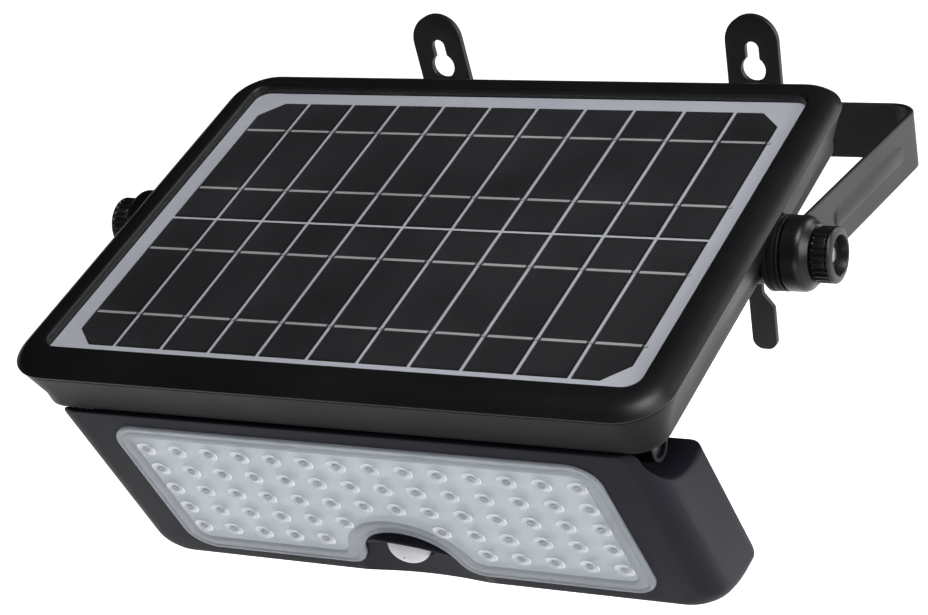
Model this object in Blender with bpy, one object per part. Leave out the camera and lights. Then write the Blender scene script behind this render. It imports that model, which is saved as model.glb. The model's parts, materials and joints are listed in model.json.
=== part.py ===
"""Solar flood light: a solar panel housing clamped in a U bracket, with a lamp head under its front edge.

Lengths are written in millimetres and turned into metres by MM when a mesh is made. The bracket frame
has +X to the right of the lamp, +Y back towards the wall and +Z up; its origin is the middle of the
bracket's flat back face. The housing and the head are each built about their own pivot axis, which
runs along X, and an empty tilts them to the angle they rest at.
"""
import math

import bmesh
import bpy
from mathutils import Vector

MM = 0.001
GAP = 0.3                       # running gap between neighbouring pieces

# ---- driving dimensions: U bracket and wall straps ----
SHEET = 2.0                     # bracket sheet thickness
STRIP_WIDTH = 22.0
ARM_FACE = 136.0                # outer face of each arm from the middle
PIVOT_DEPTH = 125.0             # bracket back face to the panel pivot
BEND_RADIUS = 12.0
BEND_STEPS = 5
BOLT_SPACING = 67.5             # strap bolts either side of the middle
STRAP_GAP = 0.2
STRAP_THICK = 2.5
STRAP_TOP = 45.5                # strap bolt to the top of the strap
STRAP_BOTTOM = 95.5             # strap bolt to the tip of the tongue
STRAP_LEAN = {"left": math.radians(-6.5), "right": math.radians(1.5)}
KEYHOLE_HEAD = 5.15
KEYHOLE_SLOT = 2.9

# ---- driving dimensions: solar housing, about the panel pivot ----
PANEL_TILT = math.radians(14.5)
CELL_PLANE = 16.4               # height of the solar cells above the pivot axis
PANEL_MIDDLE = -16.4            # middle of the cells in front of the pivot axis
OPENING_X = 118.8               # half sizes of the opening in the frame
OPENING_Y = 85.1
OPENING_RADIUS = 6.0
FRAME_WIDTH = 12.0
LEDGE = CELL_PLANE - 2.5        # the frame's shelf under the panel
SEAM = 14.5                     # joint between frame and tray
TRAY_BOTTOM = -3.6
WALL = 2.2
BOSS_RADIUS = 13.9
BOSS_FACE = 132.0
BOSS_INNER = 116.5
POST_X = 85.0
POST_Y = 79.1

# ---- driving dimensions: clamp and knob, along X ----
CUP_RADIUS = 13.3
CUP_MOUTH = 132.6
CUP_END = 142.0
KNOB_START = 142.4
KNOB_END = 150.2
KNOB_RADIUS = 10.0
KNOB_TEETH = 18

# ---- driving dimensions: lamp head, about the head hinge ----
HEAD_TILT = math.radians(15.0)  # head face against the panel's normal
HINGE_Y = -85.3                 # head hinge from the panel pivot, in the housing frame
HINGE_Z = -17.2
HEAD_X = 118.8                  # half width of the head
SIDE_EDGE = 8.8                 # radius between its face and its ends
BACK_EDGE = 5.5                 # radius round its back
FACE_Y = -18.5                  # front face from the hinge
BACK_Y = 14.5                   # rear face from the hinge
COVER_SEAM = 10.8
MID_Z = -27.0                   # middle row of LEDs below the hinge
FACE_BOTTOM = -71.8
KNEE_Y = -2.5                   # the underside slopes steeply to here, then gently to the back
KNEE_BOTTOM = -82.8
BACK_BOTTOM = -86.2
HEAD_CORNER = 10.2
BARREL = 12.8                   # rounded top of the head, about the hinge
CAVITY_X = 94.5
POCKET_X = 97.0                 # scooped end pockets start here
SCOOP_RADIUS = 32.0
SCOOP_Y = 15.5
SCOOP_Z = 15.0
LUG_INNER = 99.5
LUG_OUTER = 112.5
LUG_RADIUS = 7.5

# ---- driving dimensions: lens, board and sensor, about the middle of the LED field ----
PITCH_X = 13.47
PITCH_Z = 12.39
LENS_X = 98.0
LENS_Z = 38.5
LENS_CORNER = 11.0
ARCH_RADIUS = 20.0
ARCH_Z = -35.2
FLARE = 9.0
SENSOR_Z = -27.3
SENSOR_RADIUS = 8.7
BUTTON_X = 60.0
BUTTON_Z = -25.0
BOARD_X = 91.5
BOARD_Z = 37.0
COVER_SCREWS_X = 104.0
COVER_SCREWS_Z = (-33.0, -70.5)
BOARD_SCREWS = ([(column, -2.5) for column in (-6, -2, 2, 6)]       # in LED pitches from the field's middle
                + [(column, 2.35) for column in (-6, -3, 3, 6)] + [(0, 0.5)])


# ---------------------------------------------------------------- outlines

def arc(cx, cy, radius, start, end, steps):
    """Points on an arc, with angles in degrees."""
    points = []
    for i in range(steps + 1):
        angle = math.radians(start + (end - start) * i / steps)
        points.append((cx + radius * math.cos(angle), cy + radius * math.sin(angle)))
    return points


def rounded_box(half_x, low, high, radius_low, radius_high, steps=4):
    """A closed outline with its own corner radius at the low and the high side."""
    points = arc(half_x - radius_high, high - radius_high, radius_high, 0, 90, steps)
    points += arc(-half_x + radius_high, high - radius_high, radius_high, 90, 180, steps)
    points += arc(-half_x + radius_low, low + radius_low, radius_low, 180, 270, steps)
    points += arc(half_x - radius_low, low + radius_low, radius_low, 270, 360, steps)
    return points


def circle(cx, cy, radius, sides):
    """A closed circle."""
    return arc(cx, cy, radius, 0, 360, sides)[:-1]


def lens_outline(inset, corner_steps=4, arch_steps=10):
    """The lens's outline about the LED field's middle: a rounded box with an arch over the sensor."""
    half_x = LENS_X - inset
    half_z = LENS_Z - inset
    corner = max(LENS_CORNER - inset, 2.0)
    arch = ARCH_RADIUS + inset
    flare = FLARE - inset / 2
    rise = flare - half_z - ARCH_Z
    flare_x = math.sqrt((arch + flare) ** 2 - rise ** 2)
    turn = math.degrees(math.atan2(rise, flare_x))
    points = arc(half_x - corner, half_z - corner, corner, 0, 90, corner_steps)
    points += arc(-half_x + corner, half_z - corner, corner, 90, 180, corner_steps)
    points += arc(-half_x + corner, -half_z + corner, corner, 180, 270, corner_steps)
    points += arc(-flare_x, -half_z + flare, flare, 270, 360 - turn, 3)
    points += arc(0, ARCH_Z, arch, 180 - turn, turn, arch_steps)[1:-1]
    points += arc(flare_x, -half_z + flare, flare, 180 + turn, 270, 3)
    points += arc(half_x - corner, -half_z + corner, corner, 270, 360, corner_steps)
    return points


# ---------------------------------------------------------------- meshes

def loft(rings, closed=False):
    """Join rings of points with quads, and cap the ends unless the last ring joins the first."""
    mesh = bmesh.new()
    loops = [[mesh.verts.new(Vector(point) * MM) for point in ring] for ring in rings]
    pairs = list(zip(loops, loops[1:]))
    if closed:
        pairs.append((loops[-1], loops[0]))
    else:
        mesh.faces.new(loops[0])
        mesh.faces.new(loops[-1])
    for low, high in pairs:
        for i in range(len(low)):
            j = (i + 1) % len(low)
            mesh.faces.new((low[i], low[j], high[j], high[i]))
    bmesh.ops.recalc_face_normals(mesh, faces=mesh.faces)
    return mesh


def level_rings(rings):
    """Rings in XY planes, each given as its outline and its height."""
    return [[(x, y, z) for x, y in outline] for outline, z in rings]


def turned(profile, sides=16, axis="X", at=(0, 0, 0), closed=False, phase=0.0):
    """A turned piece. The profile lists (place along the axis, radius)."""
    rings = []
    for along, radius in profile:
        ring = []
        for i in range(sides):
            angle = 2 * math.pi * (i + phase) / sides
            across, up = radius * math.cos(angle), radius * math.sin(angle)
            point = {"X": (along, across, up), "Y": (across, along, up), "Z": (across, up, along)}[axis]
            ring.append(tuple(a + b for a, b in zip(point, at)))
        rings.append(ring)
    return loft(rings, closed)


def box(low, high):
    """A plain box between two corners."""
    x0, y0, z0 = low
    x1, y1, z1 = high
    outline = [(x0, y0), (x1, y0), (x1, y1), (x0, y1)]
    return loft(level_rings([(outline, z0), (outline, z1)]))


def plate(outline, holes, low, high, axis="Y"):
    """A flat plate with holes, between two places along its axis."""
    mesh = bmesh.new()
    for loop in [outline] + holes:
        corners = [mesh.verts.new((u, v, 0)) for u, v in loop]
        for i, corner in enumerate(corners):
            mesh.edges.new((corner, corners[(i + 1) % len(corners)]))
    bmesh.ops.triangle_fill(mesh, use_beauty=True, use_dissolve=False, edges=mesh.edges[:])
    grown = bmesh.ops.extrude_face_region(mesh, geom=mesh.faces[:])["geom"]
    top = {item for item in grown if isinstance(item, bmesh.types.BMVert)}
    for vert in mesh.verts:
        u, v = vert.co.x, vert.co.y
        along = high if vert in top else low
        place = {"X": (along, u, v), "Y": (u, along, v), "Z": (u, v, along)}[axis]
        vert.co = Vector(place) * MM
    bmesh.ops.recalc_face_normals(mesh, faces=mesh.faces)
    return mesh


def joined(meshes):
    """Several closed meshes in one, kept apart."""
    whole = bmesh.new()
    for mesh in meshes:
        data = bpy.data.meshes.new("piece")
        mesh.to_mesh(data)
        mesh.free()
        whole.from_mesh(data)
        bpy.data.meshes.remove(data)
    return whole


# ---------------------------------------------------------------- objects

def material(name, colour, roughness, metallic=0.0):
    """A plain Principled material."""
    made = bpy.data.materials.new(name)
    made.use_nodes = True
    shader = made.node_tree.nodes["Principled BSDF"]
    shader.inputs["Base Color"].default_value = (*colour, 1.0)
    shader.inputs["Roughness"].default_value = roughness
    shader.inputs["Metallic"].default_value = metallic
    return made


def empty(name, location, tilt, parent=None):
    """An empty on a joint's axis."""
    made = bpy.data.objects.new(name, None)
    made.location = Vector(location) * MM
    made.rotation_euler = (tilt, 0.0, 0.0)
    made.parent = parent
    bpy.context.scene.collection.objects.link(made)
    return made


def add(name, mesh, finish, parent=None, at=(0, 0, 0)):
    """Make the named object from a mesh."""
    data = bpy.data.meshes.new(name)
    mesh.to_mesh(data)
    mesh.free()
    made = bpy.data.objects.new(name, data)
    made.location = Vector(at) * MM
    made.parent = parent
    data.materials.append(finish)
    data.shade_smooth()
    data.set_sharp_from_angle(angle=math.radians(35))
    bpy.context.scene.collection.objects.link(made)
    return made


def combine(target, name, mesh, operation):
    """Cut a hidden tool out of the target, or join it on."""
    tool = add(name, mesh, target.data.materials[0], target.parent)
    tool.location = target.location
    tool.hide_render = True
    tool.display_type = "WIRE"
    change = target.modifiers.new(name, "BOOLEAN")
    change.object = tool
    change.operation = operation
    change.solver = "EXACT"
    change.use_self = True


def both_sides(make):
    """Call make with the side's name and its sign along X."""
    for side, sign in (("left", -1), ("right", 1)):
        make(side, sign)


def mirrored(profile, sign):
    """A turned profile moved to its side of the middle."""
    return [(along * sign, radius) for along, radius in profile]


# ---------------------------------------------------------------- bracket

def bend_strip(mesh):
    """Fold a flat strip, laid out along X from its outer face, into the U."""
    straight = ARM_FACE - BEND_RADIUS
    bend = BEND_RADIUS * math.pi / 2
    for sign in (-1, 1):
        for i in range(BEND_STEPS + 1):
            station = sign * (straight + bend * i / BEND_STEPS) * MM
            bmesh.ops.bisect_plane(mesh, geom=mesh.verts[:] + mesh.edges[:] + mesh.faces[:], dist=1e-7,
                                   plane_co=(station, 0, 0), plane_no=(1, 0, 0))
    for vert in mesh.verts:
        along, depth = vert.co.x / MM, -vert.co.y / MM
        sign = -1 if along < 0 else 1
        past = abs(along) - straight
        if past <= 0:
            x, y = abs(along), -depth
        elif past < bend:
            turn = past / BEND_RADIUS
            x = straight + (BEND_RADIUS - depth) * math.sin(turn)
            y = -BEND_RADIUS + (BEND_RADIUS - depth) * math.cos(turn)
        else:
            x, y = ARM_FACE - depth, -BEND_RADIUS - (past - bend)
        vert.co.x, vert.co.y = sign * x * MM, y * MM
    return mesh


def make_bracket(steel, zinc, plastic):
    """The U bracket with its clamp cups, and the bolts and nuts that hold the wall straps."""
    half_strip = STRIP_WIDTH / 2
    pivot_at = ARM_FACE - BEND_RADIUS + BEND_RADIUS * math.pi / 2 + PIVOT_DEPTH - BEND_RADIUS
    outline = arc(pivot_at, 0, half_strip, -90, 90, 10) + arc(-pivot_at, 0, half_strip, 90, 270, 10)
    holes = [circle(sign * pivot_at, 0, 3.4, 12) for sign in (-1, 1)]
    holes += [circle(sign * BOLT_SPACING, 0, 2.8, 12) for sign in (-1, 1)]
    bracket = add("u_bracket", bend_strip(plate(outline, holes, -SHEET, 0)), steel)
    beads = []
    for sign in (-1, 1):
        rings = []
        for half_width, out in ((3.2, -0.5), (3.2, 0.0), (2.2, 0.9)):
            stadium = arc(-28, 0, half_width, -90, 90, 5) + arc(-91, 0, half_width, 90, 270, 5)
            rings.append([(sign * (ARM_FACE + out), y, z) for y, z in stadium])
        beads.append(loft(rings))
    combine(bracket, "arm_beads", joined(beads), "UNION")

    def clamp_cup(side, sign):
        profile = [(CUP_MOUTH, CUP_RADIUS), (137.8, CUP_RADIUS), (140.6, 12.2), (CUP_END, 10.8),
                   (CUP_END, 3.5), (136.3, 3.5), (136.3, 12.0), (CUP_MOUTH, 12.0)]
        cup = add("clamp_cup_" + side, turned(mirrored(profile, sign), 24, closed=True), plastic,
                  at=(0, -PIVOT_DEPTH, 0))
        reach = sorted((sign * (CUP_MOUTH - 1), sign * 136.3))
        slot = box((reach[0], -0.5, -half_strip - GAP), (reach[1], CUP_RADIUS + 1, half_strip + GAP))
        combine(cup, "cup_slot_" + side, slot, "DIFFERENCE")

    def strap_fixing(side, sign):
        back = STRAP_GAP + STRAP_THICK
        bolt = [(back, 4.6), (back - 0.4, 4.6), (0.6, 2.4), (-7.6, 2.4), (-8.0, 2.0)]
        add("strap_bolt_" + side, turned(bolt, 12, "Y"), zinc, at=(sign * BOLT_SPACING, 0, 0))
        nut = [(-6.3, 4.6), (-2.3, 4.6), (-2.3, 3.0), (-6.3, 3.0)]
        add("strap_nut_" + side, turned(nut, 6, "Y", closed=True), zinc, at=(sign * BOLT_SPACING, 0, 0))

    both_sides(clamp_cup)
    both_sides(strap_fixing)


def strap_outline():
    """A wall strap about its bolt: round top, and a narrow hooked tongue on one side at the bottom."""
    half = STRIP_WIDTH / 2
    points = arc(0, STRAP_TOP - half, half, 0, 180, 10)
    points += arc(-half + 4.5, -STRAP_BOTTOM + 4.5, 4.5, 180, 270, 3)
    points += arc(-4.6, -STRAP_BOTTOM + 4.0, 4.0, 270, 360, 3)
    points += [(-0.6, -77.4), (-5.0, -71.5), (-5.0, -63.5)]
    points += arc(-3.0, -63.5, 2.0, 180, 90, 2)[1:]
    points += arc(half - 3.0, -58.5, 3.0, 270, 360, 3)
    return points


def make_straps(steel):
    """The two wall straps, each leaning a little on its bolt."""
    neck = math.degrees(math.asin(KEYHOLE_SLOT / KEYHOLE_HEAD))
    keyhole = arc(0, 31.9, KEYHOLE_SLOT, 0, 180, 6)
    keyhole += arc(0, 23.5, KEYHOLE_HEAD, 90 + neck, 450 - neck, 12)
    low, high = STRAP_GAP, STRAP_GAP + STRAP_THICK

    def strap(side, sign):
        made = add("wall_strap_" + side, plate(strap_outline(), [keyhole], low, high), steel,
                   at=(sign * BOLT_SPACING, 0, 0))
        made.rotation_euler = (0.0, STRAP_LEAN[side], 0.0)
        sink = [(high + 1, 5.9), (high, 4.9), (high - 0.4, 4.9), (0.5, 2.75), (-1.0, 2.75)]
        combine(made, "strap_sink_" + side, turned(sink, 16, "Y"), "DIFFERENCE")
        bpy.data.objects["strap_sink_" + side].rotation_euler = made.rotation_euler

    both_sides(strap)


# ---------------------------------------------------------------- solar housing

def frame_outline(offset):
    """The panel opening's outline, grown by an offset, about the panel pivot."""
    radius = max(OPENING_RADIUS + offset, 2.0)
    outline = rounded_box(OPENING_X + offset, -OPENING_Y - offset, OPENING_Y + offset, radius, radius)
    return [(x, y + PANEL_MIDDLE) for x, y in outline]


def panel_plate(offset, low, high):
    """A flat sheet of the opening's shape."""
    return loft(level_rings([(frame_outline(offset), low), (frame_outline(offset), high)]))


def make_frame(plastic):
    """The upper shell: a crowned frame with a ledge under the panel and four posts for the screws."""
    shelf = [(6.6, LEDGE - 1.6), (-8, LEDGE - 1.6), (-8, LEDGE), (0, LEDGE)]
    crown = [(0, 18.9), (1.2, 19.5), (4.5, 19.6), (8.5, 18.6), (11.2, 16.9), (FRAME_WIDTH, 15.4)]
    sections = shelf + crown + [(FRAME_WIDTH - 0.3, SEAM), (8.8, SEAM)]
    frame_rings = level_rings([(frame_outline(offset), z) for offset, z in sections])
    frame = add("bezel_frame", loft(frame_rings, True), plastic, PIVOT["panel"])
    posts = []
    bores = []
    for x in (-POST_X, POST_X):
        for y in (-POST_Y, POST_Y):
            at = (x, y + PANEL_MIDDLE, 0)
            posts.append(turned([(5.0, 3.6), (LEDGE - 1.0, 3.6)], 10, "Z", at))
            bores.append(turned([(4.0, 1.5), (10.5, 1.5)], 8, "Z", at))
    combine(frame, "frame_posts", joined(posts), "UNION")
    combine(frame, "frame_bores", joined(bores), "DIFFERENCE")


def lug_rings(start, end, grow):
    """A hinge lug, rounded below and splayed where it meets the tray."""
    foot = TRAY_BOTTOM + 1.0
    radius = LUG_RADIUS + grow
    outline = arc(HINGE_Y, HINGE_Z, radius, 180, 360, 8)
    top = foot + min(grow, 0) * 2
    outline += [(HINGE_Y + radius + 3.5, top), (HINGE_Y - radius - 3.5, top)]
    return [[(x, y, z) for y, z in outline] for x in (start, end)]


def make_tray(plastic):
    """The lower shell, with the pivot bosses on its sides and the head's hinge lugs under its front."""
    outer = [(3.0, TRAY_BOTTOM), (4.8, TRAY_BOTTOM + 0.6), (5.6, TRAY_BOTTOM + 2.2), (11.4, SEAM - GAP)]
    inner = [(11.4, SEAM - GAP), (5.6, TRAY_BOTTOM + WALL + 1), (3.0, TRAY_BOTTOM + WALL)]
    sections = outer + [(offset - WALL, z) for offset, z in inner]
    tray_rings = level_rings([(frame_outline(offset), z) for offset, z in sections])
    tray = add("housing_tray", loft(tray_rings), plastic, PIVOT["panel"])
    added = []
    cuts = []
    for sign in (-1, 1):
        boss = [(BOSS_INNER, 10.6), (BOSS_INNER + 1, 11.2), (125.8, 11.2), (127.8, BOSS_RADIUS),
                (BOSS_FACE, BOSS_RADIUS)]
        added.append(turned(mirrored(boss, sign), 24))
        added.append(loft(lug_rings(sign * LUG_INNER, sign * LUG_OUTER, 0)))
        cuts.append(turned(mirrored([(BOSS_INNER - 1, 6.2), (122.8, 6.2), (122.8, 3.3), (BOSS_FACE + 1, 3.3)],
                                    sign), 12))
        cuts.append(turned(mirrored([(LUG_INNER - 1, 2.8), (LUG_OUTER - 4, 2.8)], sign), 12,
                           at=(0, HINGE_Y, HINGE_Z)))
        cuts.append(loft(lug_rings(sign * (LUG_OUTER - 5), sign * (LUG_OUTER + 1), -1.8)))
        for x, y in ((sign * 40, 28), (sign * 40, 56)):
            added.append(turned([(TRAY_BOTTOM + 1, 2.6), (1.2, 2.6)], 8, "Z", (x, y, 0)))
        for y in (-POST_Y, POST_Y):
            at = (sign * POST_X, y + PANEL_MIDDLE, 0)
            added.append(turned([(TRAY_BOTTOM + 1, 4.4), (4.7, 4.4)], 10, "Z", at))
            cuts.append(turned([(TRAY_BOTTOM - 1, 3.2), (TRAY_BOTTOM + 2.6, 3.2), (TRAY_BOTTOM + 2.6, 1.8),
                                (6.0, 1.8)], 10, "Z", at))
    combine(tray, "tray_additions", joined(added), "UNION")
    combine(tray, "tray_cuts", joined(cuts), "DIFFERENCE")


def make_panel(glass, laminate, rubber):
    """The solar panel: gasket, laminate with the cells, and cover glass."""
    gasket = [(-0.4, LEDGE + 0.1), (-7.6, LEDGE + 0.1), (-7.6, LEDGE + 0.8), (-0.4, LEDGE + 0.8)]
    gasket_rings = level_rings([(frame_outline(offset), z) for offset, z in gasket])
    add("panel_gasket", loft(gasket_rings, True), rubber, PIVOT["panel"])
    add("solar_laminate", panel_plate(-0.4, CELL_PLANE - 1.6, CELL_PLANE), laminate, PIVOT["panel"])
    add("cover_glass", panel_plate(-0.4, CELL_PLANE + 0.1, CELL_PLANE + 1.6), glass, PIVOT["panel"])


def make_electrics(cell_wrap, board_green, plastic):
    """Battery cells in their cradle, and the charge board."""
    floor = TRAY_BOTTOM + WALL
    outer = [(x, y - 24) for x, y in rounded_box(112, -34, 34, 4, 4, 2)]
    inner = [(x, y - 24) for x, y in rounded_box(110, -32, 32, 2, 2, 2)]
    cradle = level_rings([(outer, floor + 0.3), (outer, floor + 8), (inner, floor + 8), (inner, floor + 1.5)])
    cradle_mesh = loft(cradle)
    add("battery_cradle", cradle_mesh, plastic, PIVOT["panel"])
    for number, x in ((1, -55), (2, 55)):
        outline = rounded_box(52, -29, 29, 5, 5, 2)
        inset = rounded_box(50.5, -27.5, 27.5, 3.5, 3.5, 2)
        rings = [(inset, floor + 1.9), (outline, floor + 3), (outline, floor + 9), (inset, floor + 10.2)]
        add("battery_cell_%d" % number, loft(level_rings(rings)), cell_wrap, PIVOT["panel"], at=(x, -24, 0))
    board = add("charge_board", box((-45, 24, 1.5), (45, 60, 3.1)), board_green, PIVOT["panel"])
    parts = [box((-38, 36, 2.8), (-26, 48, 9.0)), box((10, 30, 2.8), (24, 44, 7.5))]
    parts.append(box((30, 46, 2.8), (41, 57, 8.0)))
    combine(board, "board_parts", joined(parts), "UNION")


def make_pivots(zinc, rubber, plastic, brass):
    """What the housing carries on each side: pivot bolt, friction washer, and the clamp knob on it."""

    def pivot(side, sign):
        parent = PIVOT["panel"]
        bolt = [(118.4, 5.4), (122.4, 5.4), (122.4, 2.9), (147.0, 2.9), (147.6, 2.3)]
        add("pivot_bolt_" + side, turned(mirrored(bolt, sign), 12), zinc, parent)
        washer = [(BOSS_FACE + 0.25, 10.5), (133.7, 10.5), (133.7, 3.4), (BOSS_FACE + 0.25, 3.4)]
        add("friction_washer_" + side, turned(mirrored(washer, sign), 20, closed=True), rubber, parent)
        insert = [(142.7, 5.0), (146.2, 5.0), (146.2, 3.2), (142.7, 3.2)]
        add("knob_insert_" + side, turned(mirrored(insert, sign), 12, closed=True), brass, parent)
        rings = []
        sections = [(KNOB_START, 9.2, 0.0), (143.2, KNOB_RADIUS, 0.7), (149.0, KNOB_RADIUS, 0.7),
                    (KNOB_END, 8.8, 0.0), (KNOB_END, 6.6, 0.0), (146.4, 6.4, 0.0), (146.4, 5.3, 0.0),
                    (KNOB_START, 5.3, 0.0)]
        for along, radius, groove in sections:
            ring = []
            for i in range(2 * KNOB_TEETH):
                angle = math.pi * i / KNOB_TEETH
                here = radius - groove * (i % 2)
                ring.append((sign * along, here * math.cos(angle), here * math.sin(angle)))
            rings.append(ring)
        add("knob_" + side, loft(rings, True), plastic, parent)

    both_sides(pivot)


def make_housing_screws(zinc):
    """Four screws that hold tray and frame together from below."""
    number = 0
    for x in (-POST_X, POST_X):
        for y in (-POST_Y, POST_Y):
            number += 1
            head = TRAY_BOTTOM + 0.3
            screw = [(head, 2.8), (head + 2.0, 2.8), (head + 2.0, 1.2), (10.0, 1.2)]
            add("housing_screw_%d" % number, turned(screw, 8, "Z"), zinc, PIVOT["panel"],
                at=(x, y + PANEL_MIDDLE, 0))


# ---------------------------------------------------------------- lamp head

def head_top(y):
    """Height of the head's top at a depth: flat under the tray, then round about the hinge."""
    flat = (BARREL - 0.2 - y * math.sin(HEAD_TILT)) / math.cos(HEAD_TILT)
    if y < BARREL * math.sin(HEAD_TILT):
        return flat
    return math.sqrt(max(BARREL ** 2 - y ** 2, 0))


def head_bottom(y):
    """Height of the head's underside at a depth: it slopes down behind the face."""
    if y < KNEE_Y:
        return FACE_BOTTOM + (KNEE_BOTTOM - FACE_BOTTOM) * (y - FACE_Y) / (KNEE_Y - FACE_Y)
    return KNEE_BOTTOM + (BACK_BOTTOM - KNEE_BOTTOM) * (y - KNEE_Y) / (BACK_Y - KNEE_Y)


def eased(distance, radius):
    """How far a rounded edge draws in at a distance from its face."""
    if distance >= radius:
        return 0.0
    return radius - math.sqrt(radius ** 2 - (radius - distance) ** 2)


def head_half(y):
    """Half width of the head at a depth: its ends curve in to the face and to the back."""
    return HEAD_X - eased(y - FACE_Y, SIDE_EDGE) - eased(BACK_Y - y, BACK_EDGE)


def head_ring(y, inset=0.0):
    """The head's outline at one depth, with its lower and upper edges drawn in by the inset."""
    low = head_bottom(y) + eased(BACK_Y - y, BACK_EDGE) + inset
    outline = rounded_box(head_half(y), low, head_top(y) - inset, HEAD_CORNER - inset, 1.5)
    return [(x, y, z) for x, z in outline]


def cavity_ring(y):
    """The outline of the hollow between the solid ends of the front case."""
    wall = 2.6
    outline = rounded_box(CAVITY_X - wall, head_bottom(y) + wall, head_top(y) - wall, 6.0, 1.5)
    return [(x, y, z) for x, z in outline]


def make_front_case(plastic):
    """The head's front shell: face with the lens seat and sensor arch, and scooped ends for the lugs."""
    edge = 1.6
    rings = [head_ring(FACE_Y, edge), head_ring(FACE_Y + 0.5, 0.5), head_ring(FACE_Y + edge)]
    rings += [head_ring(y) for y in (FACE_Y + 4.0, FACE_Y + SIDE_EDGE, KNEE_Y, 3.3, 6.5, 9.0, COVER_SEAM)]
    rings += [cavity_ring(y) for y in (COVER_SEAM, 6.5, 3.3, KNEE_Y, -9.0, FACE_Y + 3.2)]
    case = add("head_front_case", loft(rings), plastic, PIVOT["head"])
    added = [turned([(FACE_Y + 1, 12.4), (FACE_Y + 8, 12.4)], 20, "Y", (0, 0, MID_Z + SENSOR_Z))]
    for sign in (-1, 1):
        added.append(turned(mirrored([(CAVITY_X + 1, 6.5), (CAVITY_X - 2.5, 6.5)], sign), 12))
    cuts = []
    for x, z in board_screw_places():
        if z > 0:
            added.append(box((x - 3, FACE_Y + 5.4, z - 3), (x + 3, FACE_Y + 14, z + 9.3)))
            cuts.append(turned([(FACE_Y + 5, 1.3), (FACE_Y + 13, 1.3)], 6, "Y", (x, 0, z)))
    combine(case, "case_additions", joined(added), "UNION")
    seat = shifted(lens_outline(-0.3))
    window = shifted(lens_outline(4.5))
    rim = ARCH_RADIUS - 1.0
    dish = [(FACE_Y - 5, rim), (FACE_Y + 1.5, rim), (FACE_Y + 2.6, rim - 3.0)]
    scoop = turned(dish, 20, "Y", (0, 0, MID_Z + ARCH_Z))
    hole = turned([(FACE_Y - 1, 9.1), (FACE_Y + 9, 9.1)], 20, "Y", (0, 0, MID_Z + SENSOR_Z))
    combine(case, "lens_seat", plate(seat, [], FACE_Y - 5, FACE_Y + 2.3), "DIFFERENCE")
    combine(case, "lens_window", plate(window, [], FACE_Y - 5, FACE_Y + 5), "DIFFERENCE")
    combine(case, "sensor_scoop", scoop, "DIFFERENCE")
    cuts.append(hole)
    for sign in (-1, 1):
        cuts.append(scoop_tool(sign))
        cuts.append(turned(mirrored([(86, 2.7), (POCKET_X + 1, 2.7)], sign), 12))
        low, high = sorted((sign * 98.0, sign * 110.8))
        cuts.append(box((low, FACE_Y + 3.2, -65.0), (high, COVER_SEAM + 1, -44.0)))
        for z in COVER_SCREWS_Z:
            bore = [(COVER_SEAM - 9, 1.5), (COVER_SEAM + 1, 1.5)]
            cuts.append(turned(bore, 8, "Y", (sign * COVER_SCREWS_X, 0, z)))
    combine(case, "case_cuts", joined(cuts), "DIFFERENCE")


def scoop_tool(sign):
    """The round scoop at one end of the head, which clears the hinge lug."""
    return turned(mirrored([(POCKET_X, SCOOP_RADIUS), (HEAD_X + 4, SCOOP_RADIUS)], sign), 48,
                  at=(0, SCOOP_Y, SCOOP_Z))


def shifted(outline):
    """An outline about the LED field's middle, moved to the head's frame."""
    return [(x, z + MID_Z) for x, z in outline]


def board_screw_places():
    """Where the board screws sit between the LEDs, as (x, z) in the head's frame."""
    return [(column * PITCH_X, MID_Z - row * PITCH_Z) for column, row in BOARD_SCREWS]


def make_rear_cover(plastic):
    """The head's rear cover, with the posts that carry the LED board."""
    seam = COVER_SEAM + GAP
    top = -9.0

    def ring(y, high, inset):
        low = head_bottom(y) + eased(BACK_Y - y, BACK_EDGE) + inset
        outline = rounded_box(head_half(y) - inset, low, high, HEAD_CORNER - inset, 1.5)
        return [(x, y, z) for x, z in outline]

    rings = [ring(BACK_Y, top, 0), ring(13.6, -3.5, 0), ring(12.4, 2.6, 0)]
    rings += [ring(seam, math.sqrt(BARREL ** 2 - seam ** 2), 0), ring(seam, top + 2.0, 2.6),
              ring(12.4, top - 1.0, 4.5)]
    cover = add("head_rear_cover", loft(rings), plastic, PIVOT["head"])
    posts = []
    cuts = []
    for x, z in board_screw_places():
        if z < 0:
            posts.append(turned([(FACE_Y + 5.4, 2.8), (13.0, 2.8)], 8, "Y", (x, 0, z)))
            cuts.append(turned([(FACE_Y + 4.0, 1.3), (FACE_Y + 13.0, 1.3)], 6, "Y", (x, 0, z)))
    combine(cover, "cover_posts", joined(posts), "UNION")
    for sign in (-1, 1):
        cuts.append(scoop_tool(sign))
        for z in COVER_SCREWS_Z:
            hole = [(seam - 1, 1.8), (BACK_Y - 2.3, 1.8), (BACK_Y - 2.3, 3.2), (BACK_Y + 1, 3.2)]
            cuts.append(turned(hole, 8, "Y", (sign * COVER_SCREWS_X, 0, z)))
    cuts.append(turned([(seam - 1, 5.9), (BACK_Y + 1, 5.9)], 16, "Y", (BUTTON_X, 0, MID_Z + BUTTON_Z)))
    combine(cover, "cover_cuts", joined(cuts), "DIFFERENCE")


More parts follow.
